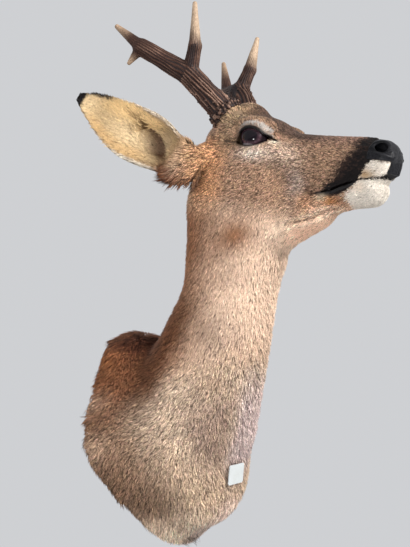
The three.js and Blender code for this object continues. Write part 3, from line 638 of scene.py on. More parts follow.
def marks(p):
    """colour, how flecked it is, how bare the skin is, and how it is on the ear, at points on the skin"""
    q = to_head(p)
    m = q.copy()
    m[:, 1] = np.abs(m[:, 1])
    s, l, u = m.T
    x, y, z = np.abs(p[:, 0]), p[:, 1], p[:, 2]
    big = octaves(p, 30, 31, 3) - 0.5
    mid = octaves(p, 9, 37, 2) - 0.5
    hair = noise(p, 1.3, 43) - 0.5
    c = np.tile(np.array(FLANK), (len(p), 1))
    fleck = np.full(len(p), 0.49)
    bare = np.zeros(len(p))
    # shoulders
    # darker brown towards the wall: partly the coat's own colour, partly painted shade
    rear = ramp(y + 18 * big, -66, -12)
    c = put(c, BELLY, 0.75 * ramp(z, -15, -75))
    c = put(c, BACK_AND_SHADE, rear * (0.9 - 0.3 * ramp(z, -40, -90)))
    c = put(c, DUSK, 0.75 * ramp(x + 14 * big, 66, 40) * ramp(x, 10, 26) * ramp(y, -55, -80) * ramp(z, 30, -5) * ramp(z, -88, -55))
    sx = p[:, 0]
    c = put(c, BRISKET, 0.80 * ramp(sx + 8 * big, -22, -4) * ramp(sx, 62, 34) * ramp(y, -58, -82) * ramp(z, 44, -5) * ramp(z, -100, -75))
    c = put(c, SHADE, 0.6 * spot(np.stack([x, y, z], 1), (84, -34, -48), (22, 26, 20)))
    # pale hair low at the front, made paler still as painted light where the underside faces away from the lamps
    c = put(c, POINT, 0.95 * ramp(z + 16 * mid + 0.15 * (40 - x), -62, -86) * ramp(x, 76, 50))
    c = put(c, SHADE, 0.7 * ramp(mid + 0.6 * hair, 0.14, 0.36) * ramp(z, -84, -98))
    c = put(c, HEM, 0.8 * ramp(sx, -16, -2) * ramp(z, -62, -78))
    # neck: pale in front, brown behind
    axis = np.interp(z, [8, 50, 92, 136, 172], [-50, -84, -117, -141, -160])
    f = -(y - axis) / 46
    neck = ramp(z, 22, 62) * ramp(u, -52, -76)
    c = put(c, NECK_SIDE, neck)
    c = put(c, NECK_FRONT, neck * ramp(f + 0.5 * big, -0.25, 0.75))
    c = put(c, NAPE, neck * ramp(f + 0.5 * big, 0.0, -0.75))
    c = put(c, SADDLE, 0.9 * ramp(f + 0.5 * big, 0.20, -0.50) * ramp(z + 14 * big, 2, 38) * ramp(z, 125, 75))
    xyz = np.stack([x, y, z], 1)
    c = put(c, RUST, 0.55 * spot(xyz, (53, -82, 52), (9, 12, 11)) + 0.35 * spot(xyz, (42, -106, 22), (12, 14, 8)))
    # painted shade low on the neck
    c = c * (1 - 0.30 * spot(xyz, (44, -120, 64), (28, 26, 26)))[:, None]
    c = put(c, WITHERS_TUFT, 1.15 * spot(xyz, (22, -30, 86), (34, 24, 16)))
    c = put(c, (0.300, 0.115, 0.045), 0.75 * spot(xyz, (47, -11, 80), (15, 12, 13)))
    c = put(c, (0.480, 0.335, 0.240), 0.50 * spot(xyz, (80, -8, 38), (12, 13, 11)) + 0.40 * spot(xyz, (96, -6, -4), (12, 12, 9)))
    # head
    head = ramp(u, -76, -50) * ramp(s, -66, -40)
    head = np.maximum(head, ramp(s, 36, 52) * ramp(u, -112, -96))
    h = put(np.tile(np.array(CHEEK), (len(p), 1)), CHEEK_REAR, ramp(s, -8, -34) * ramp(u, 2, -12))
    h = put(h, MUZZLE_SIDE, ramp(s, 25, 50))
    h = put(h, MUZZLE_TOP, ramp(u, -6, 6) * ramp(s, 20, 50))
    h = put(h, CROWN, 0.95 * ramp(u + 6 * mid - np.interp(s, [10, 45], [3, -3]), 0, 6) * ramp(l + 5 * mid, np.interp(s, [0, 50], [30, 24]), np.interp(s, [0, 50], [21, 12])) * ramp(s, -24, -10) * ramp(s, 84, 48))
    h = put(h, OLIVE, 0.8 * ramp(s, -8, -24) * ramp(u, 12, 20))
    h = put(h, OLIVE, 1.3 * spot(m, (-22, 28, 18), (17, 12, 12)) + 0.8 * spot(m, (-24, 38, -6), (12, 12, 12)))
    h = put(h, OLIVE, 0.45 * spot(m, (2, 30, 17), (16, 9, 5)))
    h = put(h, (0.150, 0.096, 0.066), 0.85 * spot(m, BROW_AT, (9, 8, 4.8)))
    h = put(h, UNDER_EYE, 1.1 * spot(m, (10, 38, -15), (15, 12, 6.5)) + 0.5 * spot(m, (34, 26, -14), (16, 12, 9)))
    jaw = np.interp(s, [10, 23, 33, 60, 75, 92], [-100, -92, -78.5, -66.5, -57.5, -51])
    under = ramp(u - jaw, 2.5, -3)
    h = put(h, JAW_TAN, under * ramp(s, -20, 10))
    h = put(h, JAW_TAN, 0.5 * ramp(s, 40, 70) * ramp(u, -44, -54))
    h = put(h, (0.520, 0.420, 0.370), 0.65 * spot(m, (46, 21, -36), (8, 9, 12)))
    h = put(h, (0.050, 0.024, 0.017), 0.80 * spot(m, (57.5, 18, -39), (3.0, 9, 3.6)) + 0.80 * spot(m, (61, 18, -43.5), (3.2, 9, 3.0)))
    h = put(h, (0.390, 0.172, 0.066), 0.95 * spot(m, (79, 14, -48.5), (9, 9, 4.5)) + 0.5 * spot(m, (58, 20, -52), (9, 9, 6)))
    c = c * (1 - head[:, None]) + h * head[:, None]
    fleck = fleck + head * 0.47 * (1 - under)
    fleck = fleck - 0.33 * neck * ramp(f, -0.5, 0.4)
    c = put(c, RUST, 1.0 * spot(xyz, (37, -168, 138), (17, 19, 14)))
    c = put(c, EAR_FOOT, 1.1 * spot(m, (-56, 42, -49), (13, 13, 9)))
    c = put(c, EAR_ROOT, 0.9 * spot(m, (-50, 44, -22), (10, 14, 13)))
    # black round the nose and down to the corner of the mouth
    mu = mouth_u(s)
    edge = s - np.interp(u, NOSE_U, NOSE_S) + 5 * mid + 11 * hair
    soft = np.interp(u, [-46, -30, -12, 0], [3.0, 6.0, 5.0, 3.0])
    black = ramp(edge, -soft, soft) * ramp(u - mu, -1.0, 0.5) * (s > 55)
    low = np.interp(s, [62, 66, 75, 85, 93, 100, 104.5], [0, 2, 4.5, 7.5, 7.0, 3.5, 0])
    lip = ramp(mu - u - low + 2 * mid, 1.2, -1.2) * (u < mu + 1) * (s > 62) * (s < 106)
    black = np.maximum(black, lip)
    white = ramp(s - np.interp(u, [-26.2, -22.6, -17.6, -11], [104.8, 106.5, 108.9, 112.6]) + 2.5 * hair + 3 * mid, -1.4, 1.2) * ramp(u + 2.5 * hair - 0.10 * (s - 116) ** 2 * (s < 116), -10.0, -12.4) * ramp(u - mu, -0.6, 0.3)
    white = white * ramp(l, 9.8, 11.2)
    black = black * (1 - white)
    c = put(c, BLACK, black)
    c = put(c, MUZZLE_BROWN, 0.75 * black * (1 - lip) * ramp(hair + 0.8 * mid, -0.05, 0.35) * ramp(u - mu, 3, 10))
    c = put(c, WHITE, white)
    c = put(c, YELLOW, 0.9 * spot(m, (109.2, 17.2, -23.0), (8.6, 9, 4.6)) * white)
    chin = ramp(s - np.interp(u, [-56, -48, -43, -36, -28], [99, 95, 92.5, 98, 104]) + 5 * mid + 6 * hair, -4.0, 2.5) * ramp(mu - u, 0.2, 1.2)
    chin = chin * (1 - lip)
    c = put(c, WHITE, chin)
    c = put(c, (0.72, 0.52, 0.36), 0.35 * spot(m, (104, 14, -34), (6, 6, 5)) * chin)
    c = put(c, (0.74, 0.60, 0.42), 0.8 * spot(m, (70.5, 18, -46.5), (4, 5, 2.2)))
    fleck = fleck * (1 - np.clip(black + white + chin, 0, 1)) + 0.06 * np.clip(black + white + chin, 0, 1)
    slit = np.exp(-(((u - mu) / 1.1) ** 2)) * ramp(s, 60, 64)
    c = put(c, BLACK, slit)
    bare = np.maximum(bare, np.maximum(lip * ramp(mu - u, 5.5, 3.0), slit) * 0.9)
    # lids
    a, b, o, r = eye_coords(m)
    gap = lid_gap(a, b)
    near = (o > 0) * (r < EYE_R + 16)
    band = near * ramp(gap, 3.1, 3.9) * ramp(gap, 6.8, 5.6) * ramp(b, 0, 3) * ramp(a, -13, -6)
    band = np.maximum(band, near * spot(m, (22, 24.5, 2.6), (5, 5, 2.6)))
    c = put(c, LID_BAND, 0.95 * band)
    c = put(c, (0.80, 0.69, 0.54), 1.0 * spot(m, (25.2, 30, -5.2), (4.2, 6, 2.6)))
    # black rim of the lids, widened on the upper lid to take in painted shadow under its edge
    rim = near * ramp(gap, np.where(b > 0, 3.6, 1.7), np.where(b > 0, 2.7, 0.9))
    tear, _ = near_line(m, TEAR)
    tail, _ = near_line(m, TEAR_END)
    rim = np.maximum(rim, np.maximum(ramp(tear, 2.3, 1.1), ramp(tail, 1.7, 0.7)) * (l > 12))
    c = put(c, BLACK, rim)
    bare = np.maximum(bare, rim)
    c = put(c, (0.20, 0.125, 0.075), 0.5 * near * ramp(gap, 5.0, 2.2) * ramp(b, 2, -4) * ramp(a, -4, -12))
    fleck = fleck * (1 - np.clip(rim + band, 0, 1))
    # folds: painted shadow in the creases, and a paler strip along the ridge beside the jaw fold
    fold, _ = near_line(m, JAW_FOLD)
    c = c * (1 - 0.35 * np.exp(-((fold / 1.6) ** 2)))[:, None]
    c = put(c, (0.78, 0.60, 0.45), 0.45 * np.exp(-(((fold - 3.6) / 2.0) ** 2)) * (s > 30))
    crease, _ = near_line(m, CHEEK_CREASE)
    c = c * (1 - 0.5 * np.exp(-((crease / 1.3) ** 2)))[:, None]
    scratch, _ = near_line(p, SCRATCH)
    c = c * (1 - 0.55 * np.exp(-((scratch / 1.5) ** 2)))[:, None]
    # ears
    side, T, A, K, V = ear_zone(p)
    ear = side != 0
    if ear.any():
        t, ac, k, v = T[ear], A[ear], K[ear], V[ear]
        inner = ramp(k, 0.93, 0.80)
        e = np.tile(np.array(EAR_BACK_TAN), (ear.sum(), 1))
        e = put(e, (0.16, 0.10, 0.07), ramp(t, 0.5, 0.95) * 0.7)
        g = np.tile(np.array(EAR_GOLD), (ear.sum(), 1))
        g = put(g, EAR_CREAM, 0.8 * np.exp(-(((ac - 0.15) / 0.5) ** 2 + ((t - 0.42) / 0.2) ** 2)))
        g = put(g, EAR_CREAM, 0.55 * ramp(t, 0.72, 0.95))
        # paler gold along the upper side inside the ear: its own gold and painted light
        g = put(g, (0.720, 0.480, 0.225), 0.85 * ramp(-ac, 0.0, 0.5) * ramp(t, 0.22, 0.38) * ramp(t, 0.85, 0.65))
        g = put(g, (0.560, 0.345, 0.150), 0.55 * ramp(ac, 0.25, 0.60) * ramp(t, 0.25, 0.40) * ramp(t, 0.95, 0.70))
        # dark hollow low inside the ear: dark hair, deepened by painted shade under the rolled front edge
        te = np.interp(ac, [-0.62, -0.5, -0.38, -0.2, 0, 0.45, 0.6], [0.50, 0.40, 0.27, 0.22, 0.19, 0.155, 0.16])
        hollow_dark_and_shade = ramp(t, te - 0.02, te + 0.02) * ramp(t, te + 0.26, te + 0.05) * ramp(ac, -0.64, -0.46) * ramp(ac, 0.7, 0.25)
        g = put(g, EAR_DARK_AND_SHADE, 0.95 * hollow_dark_and_shade)
        e = e * (1 - inner[:, None]) + g * inner[:, None]
        edge = ramp(np.abs(ac), 0.84, 0.95) * ramp(v, -3.5, -1.0)
        e = put(e, (0.80, 0.72, 0.58), np.where(ac < 0, 0.45, 0.8) * edge * ramp(t, 0.10, 0.25))
        tip = np.maximum(ramp(t, 0.925, 0.95), ramp(-ac, 0.62, 0.80) * ramp(v, -4.5, -1.5) * ramp(t, 0.68, 0.80))
        tip = np.maximum(tip, edge * ramp(t, 0.88, 0.94))
        e = put(e, BLACK, tip)
        w = ramp(t, 0.02, 0.14)
        e = put(e, EAR_ROOT, 1 - ramp(t, 0.06, 0.22))
        e = put(e, EAR_FOOT, 0.9 * ramp(t, 0.24, 0.08) * ramp(ac, 0.25, 0.75))
        c[ear] = c[ear] * (1 - w[:, None]) + e * w[:, None]
        fleck[ear] = fleck[ear] * (1 - w) + 0.06 * w
    c = put(c, EAR_FOOT, 1.1 * spot(m, (-67, 49, -46), (16, 15, 12)) * (u < -28))
    c = c * (1 + 0.30 * big + 0.16 * mid)[:, None]
    return np.clip(c, 0.003, 0.95), np.clip(fleck, 0, 1), np.clip(bare, 0, 1), (side, T, A, K, V)


def nose_zone(m):
    """below 0 on the bare pad of the nose"""
    s, l, u = m.T
    wing = np.maximum(107.5 + 0.25 * np.maximum(u, 0) - s, -10.6 - u)
    strip = np.maximum(np.maximum(l - 10.8, -20.9 - u), 118 - s)
    return np.minimum(wing, strip)


# ---------------------------------------------------------------- lie and length of the coat
def lie(p, ears):
    """direction the hair lies in, before it is laid along the skin"""
    q = to_head(p)
    s, l, u = q[:, 0], np.abs(q[:, 1]), q[:, 2]
    sg = np.where(q[:, 1] < 0, -1.0, 1.0)
    # head: back from the nose, down over the cheeks
    h = np.stack([-np.ones(len(p)), 0.15 * sg, -0.10 - 0.55 * ramp(u, 0, -40) + 0.25 * ramp(u, 4, 12)], 1)
    a, b, o, r = eye_coords(np.stack([s, l, u], 1))
    ring = np.exp(-(((r - EYE_R) / 9) ** 2)) * (o > 0)
    away = np.stack([a, 0 * a, b], 1)
    away = unit(away) * np.stack([np.ones(len(a)), sg, np.ones(len(a))], 1)
    h = unit(h) * (1 - 0.6 * ring[:, None]) + away * (0.9 * ring[:, None])
    hw = h @ HM
    # neck and shoulders: down, then back towards the wall
    x, y, z = p.T
    down = np.stack([0.0 * x, 0.56 + 0 * x, -0.83 + 0 * x], 1)
    wide = np.clip(np.abs(x) / 80, 0, 1)
    trunk = np.stack([np.sign(x) * (0.18 + 0.35 * wide) * ramp(z, -70, -10), 0.25 + 0.55 * wide, -0.90 + 0.15 * wide], 1)
    trunk[:, 0] -= np.sign(x) * 0.8 * wide * ramp(z, -45, -95)
    top = ramp(z, 55, 85) * ramp(y, -75, -40)
    trunk = trunk * (1 - top[:, None]) + np.array([0, 0.95, 0.25]) * top[:, None]
    b1 = ramp(z, 70, 20)[:, None]
    body = unit(down) * (1 - b1) + unit(trunk) * b1
    w = np.maximum(ramp(u, -82, -52) * ramp(s, -70, -48), ramp(s, 30, 50) * ramp(u, -118, -100))[:, None]
    d = unit(hw) * w + unit(body) * (1 - w)
    side, T, A, K, V = ears
    for name in EARS:
        bb, ax, ww, nn, long = ear_frame(name)
        k = side == EARS[name][2]
        if k.any():
            d[k] = ax + 0.55 * np.clip(A[k], -1, 1)[:, None] * ww * (K[k] < 0.9)[:, None] * ramp(T[k], 1.0, 0.5)[:, None]
            low = ramp(T[k], 0.16, 0.02)[:, None]
            d[k] = unit(d[k]) * (1 - 0.5 * low) + np.array([0, 0.3, -0.9]) * 0.5 * low
    return unit(d)


def coat(p, q, bare, ears):
    """length, width and standing height of the hair"""
    s, l, u = q[:, 0], np.abs(q[:, 1]), q[:, 2]
    depth = coat_depth(p, q)
    face = ramp(q[:, 0], -62, -18) * ramp(q[:, 2], -104, -58)
    length = 8.6 * (1 - face) + 4.2 * face
    length = length * (1 - 0.30 * ramp(s, 40, 90) * face)
    width = 1.20 * (1 - face) + 0.78 * face
    height = depth * 0.92
    tuft = spot(np.stack([np.abs(p[:, 0]), p[:, 1], p[:, 2]], 1), (22, -30, 86), (34, 26, 18))
    edge = ramp(p[:, 1], -26, -6) * (1 - face)
    hem = ramp(p[:, 2], -58, -88) * (1 - face)
    clump = ramp(noise(p, 8.0, 71), 0.52, 0.78)
    length = length * np.minimum(1 + 1.0 * tuft + (0.45 + 1.0 * clump) * edge + 0.8 * hem, 2.3 - 0.25 * hem)
    height = height * (1 + (0.7 * edge * (1 - hem) + 0.5 * tuft) * clump)
    side, T, A, K, V = ears
    ear = side != 0
    if ear.any():
        t, k = T[ear], K[ear]
        inner = ramp(k, 0.93, 0.80)
        w = ramp(t, 0.04, 0.16)
        rim = ramp(np.abs(A[ear]), 0.70, 0.86)
        length[ear] = length[ear] * (1 - w) + (4.2 + 7.5 * inner * ramp(t, 0.9, 0.55) * ramp(t, 0.30, 0.52) * (1 - 0.7 * rim)) * ramp(t, 1.06, 0.86) * w
        width[ear] = width[ear] * (1 - w) + 0.95 * w
        height[ear] = height[ear] * (1 - w) + (0.7 + 1.0 * inner * ramp(t, 0.9, 0.6) * (1 - rim)) * w
    # shaggy hair hangs from the foot of the ear
    foot = spot(np.stack([s, l, u], 1), (-64, 47, -47), (14, 14, 11))
    return length * (1 + 1.1 * foot), width, height * (1 + 1.2 * foot)


class Tufts:
    """leaf-shaped closed locks of hair, each six triangles, pointed at both ends"""

    def __init__(self):
        self.parts = []

    def add(self, P, N, T, length, width, height, root, mid, tip, band, rng, bend=0.25):
        B = unit(np.cross(N, T))
        side = rng.normal(0, bend, len(P))[:, None]
        L = length[:, None]
        H = height[:, None]
        r0 = P - N * 0.45
        m0 = P + T * L * 0.48 + B * L * 0.10 * side + N * H * 0.62
        t0 = P + T * L * 0.97 + B * L * 0.30 * side + N * H
        for pts, share in ((m0, 0.62), (t0, 1.0)):
            d = skin_shape(pts)
            pts -= N * np.clip(d - height * share, -3.5, 3.5)[:, None]
        ok = np.isfinite(t0).all(1)
        hw = (width * 0.5)[:, None]
        along = unit(t0 - r0)
        B2 = unit(np.cross(N, along))
        up = np.cross(along, B2)
        va, vb, vc = m0 - B2 * hw, m0 + B2 * hw, m0 + up * hw * 0.7
        V = np.stack([r0, va, vb, vc, t0], 1)
        soft = np.stack([N, unit(N - 0.45 * B2), unit(N + 0.45 * B2), N, unit(N + 0.25 * along)], 1)
        C = np.stack([root, mid, mid, mid * 1.06, tip], 1)
        self.parts.append((V[ok], soft[ok], C[ok], P[ok], band[ok]))

    def arrays(self):
        return [np.concatenate([x[k] for x in self.parts]) for k in range(5)]


LEAF = np.array([[0, 1, 3], [0, 3, 2], [0, 2, 1], [4, 3, 1], [4, 2, 3], [4, 1, 2]])
LEAF_UV = np.array([[0.0, -0.5], [-0.42, 0.0], [0.42, 0.0], [0.0, 0.05], [0.0, 0.5]])


def unwrap(P, region):
    """place of each root on an unwrap of the skin round its own axis"""
    if region.startswith("ear"):
        name = region.split("_")[1]
        t, a, v, hw, dp, long = ear_coords(P, name)
        ang = np.arctan2(v + 4, a)
        return np.stack([(ang + np.pi) / (2 * np.pi), np.clip(t * 0.9 + 0.05, 0, 1)], 1)
    if region.startswith("head"):
        q = to_head(P)
        ang = np.arctan2(q[:, 1], -(q[:, 2] + 22))
        return np.stack([(ang + np.pi) / (2 * np.pi), np.clip((q[:, 0] + 75) / 215, 0, 1)], 1)
    axis = np.interp(P[:, 2], [-60, 8, 50, 92, 136, 172], [-30, -45, -84, -117, -141, -160])
    ang = np.arctan2(P[:, 0], -(P[:, 1] - axis))
    return np.stack([(ang + np.pi) / (2 * np.pi), np.clip((P[:, 2] + 110) / 330, 0, 1)], 1)


def make_mesh(name, V, faces, normals=None, colours=None):
    """faces: an (n, 3) or (n, 4) array; V in millimetres"""
    me = bpy.data.meshes.new(name)
    k = faces.shape[1]
    me.vertices.add(len(V))
    me.vertices.foreach_set("co", (V * MM).astype(f32).ravel())
    me.loops.add(faces.size)
    me.loops.foreach_set("vertex_index", faces.astype(np.int32).ravel())
    me.polygons.add(len(faces))
    me.polygons.foreach_set("loop_start", np.arange(0, faces.size, k, dtype=np.int32))
    me.polygons.foreach_set("use_smooth", np.ones(len(faces), bool))
    me.update(calc_edges=True)
    me.validate()
    for key, C in (colours or {}).items():
        at = me.color_attributes.new(name=key, type="FLOAT_COLOR", domain="POINT")
        at.data.foreach_set("color", np.concatenate([C, np.ones((len(C), 1))], 1).astype(f32).ravel())
    if normals is not None:
        me.normals_split_custom_set_from_vertices(normals.astype(f32))
    o = bpy.data.objects.new(name, me)
    bpy.context.scene.collection.objects.link(o)
    return o


def tuft_piece(name, V, N, C, P, band, region):
    n = len(V)
    F = (np.arange(n)[:, None, None] * 5 + LEAF[None]).reshape(-1, 3)
    o = make_mesh(name, V.reshape(-1, 3), F, N.reshape(-1, 3), {"tint": C.reshape(-1, 3), "band": np.repeat(band, 5)[:, None] * np.ones(3)})
    me = o.data
    at = unwrap(P, region)
    uv = (at[:, None, :] * 0.994 + 0.003 + LEAF_UV[None] * 0.003).reshape(-1, 2)
    layer = me.uv_layers.new(name="OFBake")
    layer.data.foreach_set("uv", uv[F.reshape(-1)].astype(f32).ravel())
    lock = me.uv_layers.new(name="lock")
    own = np.tile(LEAF_UV + 0.5, (n, 1))
    own[:, 0] += np.repeat(np.arange(n) % 97, 5) * 1.37
    lock.data.foreach_set("uv", own[F.reshape(-1)].astype(f32).ravel())
    return o


# ---------------------------------------------------------------- antlers
ANTLER_DARK = (0.016, 0.008, 0.006)
ANTLER_BROWN = (0.051, 0.022, 0.014)
ANTLER_PALE = (0.245, 0.150, 0.110)
ANTLER_TIP = (0.430, 0.315, 0.220)


def antler_parts(A):
    c = {k: np.array(v, float) for k, v in A.items()}
    ax = unit(c["fork"] - c["coronet"])
    bend = c["fork"] + (c["front"] - c["fork"]) * 0.38 + np.array([0, -4.0, 0])
    # from, to, radii, depth of the grooves at each end
    return c, ax, [
        (c["coronet"] - ax * 12, c["fork"], 12.0, 10.2, 1.9, 1.7),
        (c["fork"], c["crown"], 9.8, 8.0, 1.6, 0.7),
        (c["fork"], bend, 7.6, 6.1, 1.3, 0.9),
        (bend, c["front"], 6.1, 2.1, 0.8, 0.0),
        (c["crown"], c["top"], 6.4, 2.2, 0.6, 0.0),
        (c["crown"], c["rear"], 5.9, 1.9, 0.5, 0.0),
    ]


def grain_of(p, a, b, seed, ridges=20):
    """ridges running along the piece from a to b: 0 in a groove, 1 on a ridge; and the share of the way along"""
    ax = b - a
    long = np.linalg.norm(ax)
    ax = ax / long
    e1 = unit(np.cross(ax, [0.3, 1.0, 0.2]))
    e2 = np.cross(ax, e1)
    w = p - a
    h = w @ ax
    q = np.stack([w @ e1, w @ e2, h], 1)
    turn = np.arctan2(q[:, 1], q[:, 0])
    drift = 7.5 * (noise(q, (8, 8, 30), seed) - 0.5) + 5.0 * (noise(q, (4.0, 4.0, 13), seed + 5) - 0.5)
    n = 0.5 + 0.5 * np.cos(ridges * turn + drift + 0.02 * h)
    n = 0.68 * n + 0.32 * noise(q, (1.5, 1.5, 8), seed + 9)
    return np.clip(n * (0.35 + 1.2 * noise(q, (5, 5, 17), seed + 13)), 0, 1), np.clip(h / long, 0, 1)


def pearls_of(A, seed):
    rng = np.random.default_rng(seed)
    c, ax, parts = antler_parts(A)
    e1 = unit(np.cross(ax, [0.3, 1.0, 0.2]))
    e2 = np.cross(ax, e1)
    out = []
    for ring, n, R, r in ((0.0, 27, 15.2, 1.45), (-2.4, 25, 14.6, 1.5), (2.4, 26, 14.2, 1.35), (4.8, 24, 13.0, 1.2)):
        for k in range(n):
            t = 2 * math.pi * (k + rng.uniform(-0.3, 0.3)) / n + ring
            rad = R * (1 + rng.uniform(-0.08, 0.07))
            out.append((c["coronet"] + ax * (ring + rng.uniform(-1.0, 1.0)) + (e1 * math.cos(t) + e2 * math.sin(t)) * rad, r * rng.uniform(0.75, 1.2)))
    for k in range(70):
        h = 6 + 40 * rng.uniform() ** 1.3
        t = rng.uniform(0, 2 * math.pi)
        rad = 11.9 - 1.8 * h / 60
        out.append((c["coronet"] + ax * h + (e1 * math.cos(t) + e2 * math.sin(t)) * rad, rng.uniform(0.7, 1.3) * (1.15 - h / 80)))
    return out


def antler_shape(A, seed):
    c, ax, parts = antler_parts(A)
    pearls = pearls_of(A, seed)

    def fn(p):
        p = np.asarray(p, float)
        q = p - c["coronet"]
        h = q @ ax
        r = np.sqrt(np.maximum((q * q).sum(1) - h * h, 0))
        d = np.sqrt(np.maximum(r - 9.0, 0) ** 2 + (h * 1.15) ** 2) - 5.2
        for k, (a, b, ra, rb, ga, gb) in enumerate(parts):
            e = cone(p, a, b, ra, rb)
            near = e < 6
            if near.any():
                g, t = grain_of(p[near], a, b, seed + 11 * k)
                e[near] -= (ga + (gb - ga) * t) * (g - 0.70)
                e[near] += 0.5 * (noise(p[near], 14, seed + 3) - 0.5)
            d = smin(d, e, 3.2)
        near = np.nonzero((np.abs(h) < 48) & (r < 24))[0]
        if len(near):
            pn, dn = p[near], d[near]
            for at, rad in pearls:
                i = np.nonzero(((pn - at) ** 2).sum(1) < (rad + 4) ** 2)[0]
                if len(i):
                    dn[i] = smin(dn[i], np.sqrt(((pn[i] - at) ** 2).sum(1)) - rad, 1.5)
            d[near] = dn
        return d

    return fn


def antler_colour(V, N, A, seed):
    c, ax, parts = antler_parts(A)
    best = np.full(len(V), 1e9)
    grain, which, along = np.zeros(len(V)), np.zeros(len(V), int), np.zeros(len(V))
    for k, (a, b, ra, rb, ga, gb) in enumerate(parts):
        e = cone(V, a, b, ra, rb)
        g, t = grain_of(V, a, b, seed + 11 * k)
        m = e < best
        best[m], grain[m], which[m], along[m] = e[m], g[m], k, t[m]
    h = (V - c["coronet"]) @ ax
    patch = octaves(V, 16, seed + 70, 3)
    col = np.tile(np.array(ANTLER_BROWN), (len(V), 1)) * (0.65 + 0.7 * patch)[:, None]
    col = put(col, ANTLER_DARK, ramp(grain, 0.58, 0.22) * (1 - 0.5 * ramp(h, 60, 120)))
    worn = ramp(grain, 0.62, 0.92) * np.interp(h, [0, 20, 60, 110], [1.0, 1.0, 0.7, 0.30])
    col = put(col, ANTLER_PALE, worn * (0.35 + 0.65 * ramp(patch, 0.38, 0.58)))
    # pearls of the coronet are pale on top, brown between
    r = np.sqrt(np.maximum(((V - c["coronet"]) ** 2).sum(1) - h * h, 0))
    crown = np.exp(-((h / 8) ** 2)) * ramp(r, 11.5, 13.0)
    col = put(col, ANTLER_DARK, 0.9 * crown * ramp(r, 16.0, 14.6))
    col = put(col, ANTLER_PALE, 0.60 * crown * ramp(r, 15.2, 16.8) * (0.4 + 0.6 * ramp(patch, 0.35, 0.55)))
    bead = np.zeros(len(V))
    for at, rad in pearls_of(A, seed)[102:]:
        bead = np.maximum(bead, np.exp(-((np.sqrt(((V - at) ** 2).sum(1)) / (rad * 1.1)) ** 4)))
    col = put(col, ANTLER_PALE, 0.5 * bead * (best > 0.5))
    # tines are rubbed pale towards their tips, most on the front edge
    tip = np.where(np.isin(which, (3, 4, 5)), along, 0)
    face = 0.5 - 0.5 * N[:, 1]
    col = put(col, ANTLER_TIP, np.where(which == 3, ramp(tip + 0.35 * face, 0.25, 0.75), 0) * 0.9)
    col = put(col, ANTLER_TIP, np.where(which == 2, ramp(0.35 * face * along, 0.25, 0.75), 0) * 0.9)
    col = put(col, (0.40, 0.28, 0.19), np.where(which > 3, ramp(tip, 0.35, 0.95), 0) * 0.8)
    return np.clip(col, 0.01, 0.9), np.clip(1 - grain, 0, 1)


# ---------------------------------------------------------------- materials
def tree_of(name):
    mat = bpy.data.materials.new(name)
    mat.use_nodes = True
    nt = mat.node_tree
    nt.nodes.clear()
    out = nt.nodes.new("ShaderNodeOutputMaterial")
    bs = nt.nodes.new("ShaderNodeBsdfPrincipled")
    nt.links.new(bs.outputs["BSDF"], out.inputs["Surface"])
    return mat, nt, bs


def node(nt, kind, **props):
    n = nt.nodes.new(kind)
    for k, v in props.items():
        setattr(n, k, v)
    return n


def attribute(nt, name):
    return node(nt, "ShaderNodeAttribute", attribute_name=name).outputs["Color"]


def texture(nt, kind, scale, vector=None, **values):
    n = nt.nodes.new(kind)
    n.inputs["Scale"].default_value = scale
    for k, v in values.items():
        n.inputs[k].default_value = v
    if vector is None:
        vector = node(nt, "ShaderNodeTexCoord").outputs["Object"]
    nt.links.new(vector, n.inputs["Vector"])
    return n


def span(nt, value, lo, hi):
    n = node(nt, "ShaderNodeMapRange")
    n.inputs["To Min"].default_value = lo
    n.inputs["To Max"].default_value = hi
    nt.links.new(value, n.inputs["Value"])
    return n.outputs["Result"]


def mixed(nt, kind, a, b, factor=1.0):
    n = node(nt, "ShaderNodeMix", data_type="RGBA", blend_type=kind)
    for sock, v in ((n.inputs["Factor"], factor), (n.inputs[6], a), (n.inputs[7], b)):
        if isinstance(v, bpy.types.NodeSocket):
            nt.links.new(v, sock)
        elif isinstance(v, (int, float)):
            sock.default_value = v
        else:
            sock.default_value = (*v, 1)
    return n.outputs[2]


def ramp_node(nt, value, stops):
    n = node(nt, "ShaderNodeValToRGB")
    els = n.color_ramp.elements
    while len(els) < len(stops):
        els.new(0.5)
    for e, (at, col) in zip(els, stops):
        e.position = at
        e.color = (*col, 1) if len(col) == 3 else col
    nt.links.new(value, n.inputs["Fac"])
    return n.outputs["Color"]


def bump(nt, bs, height, strength, distance):
    n = node(nt, "ShaderNodeBump")
    n.inputs["Strength"].default_value = strength
    n.inputs["Distance"].default_value = distance
    nt.links.new(height, n.inputs["Height"])
    nt.links.new(n.outputs["Normal"], bs.inputs["Normal"])


def set_in(bs, **values):
    for k, v in values.items():
        bs.inputs[k.replace("_", " ")].default_value = v


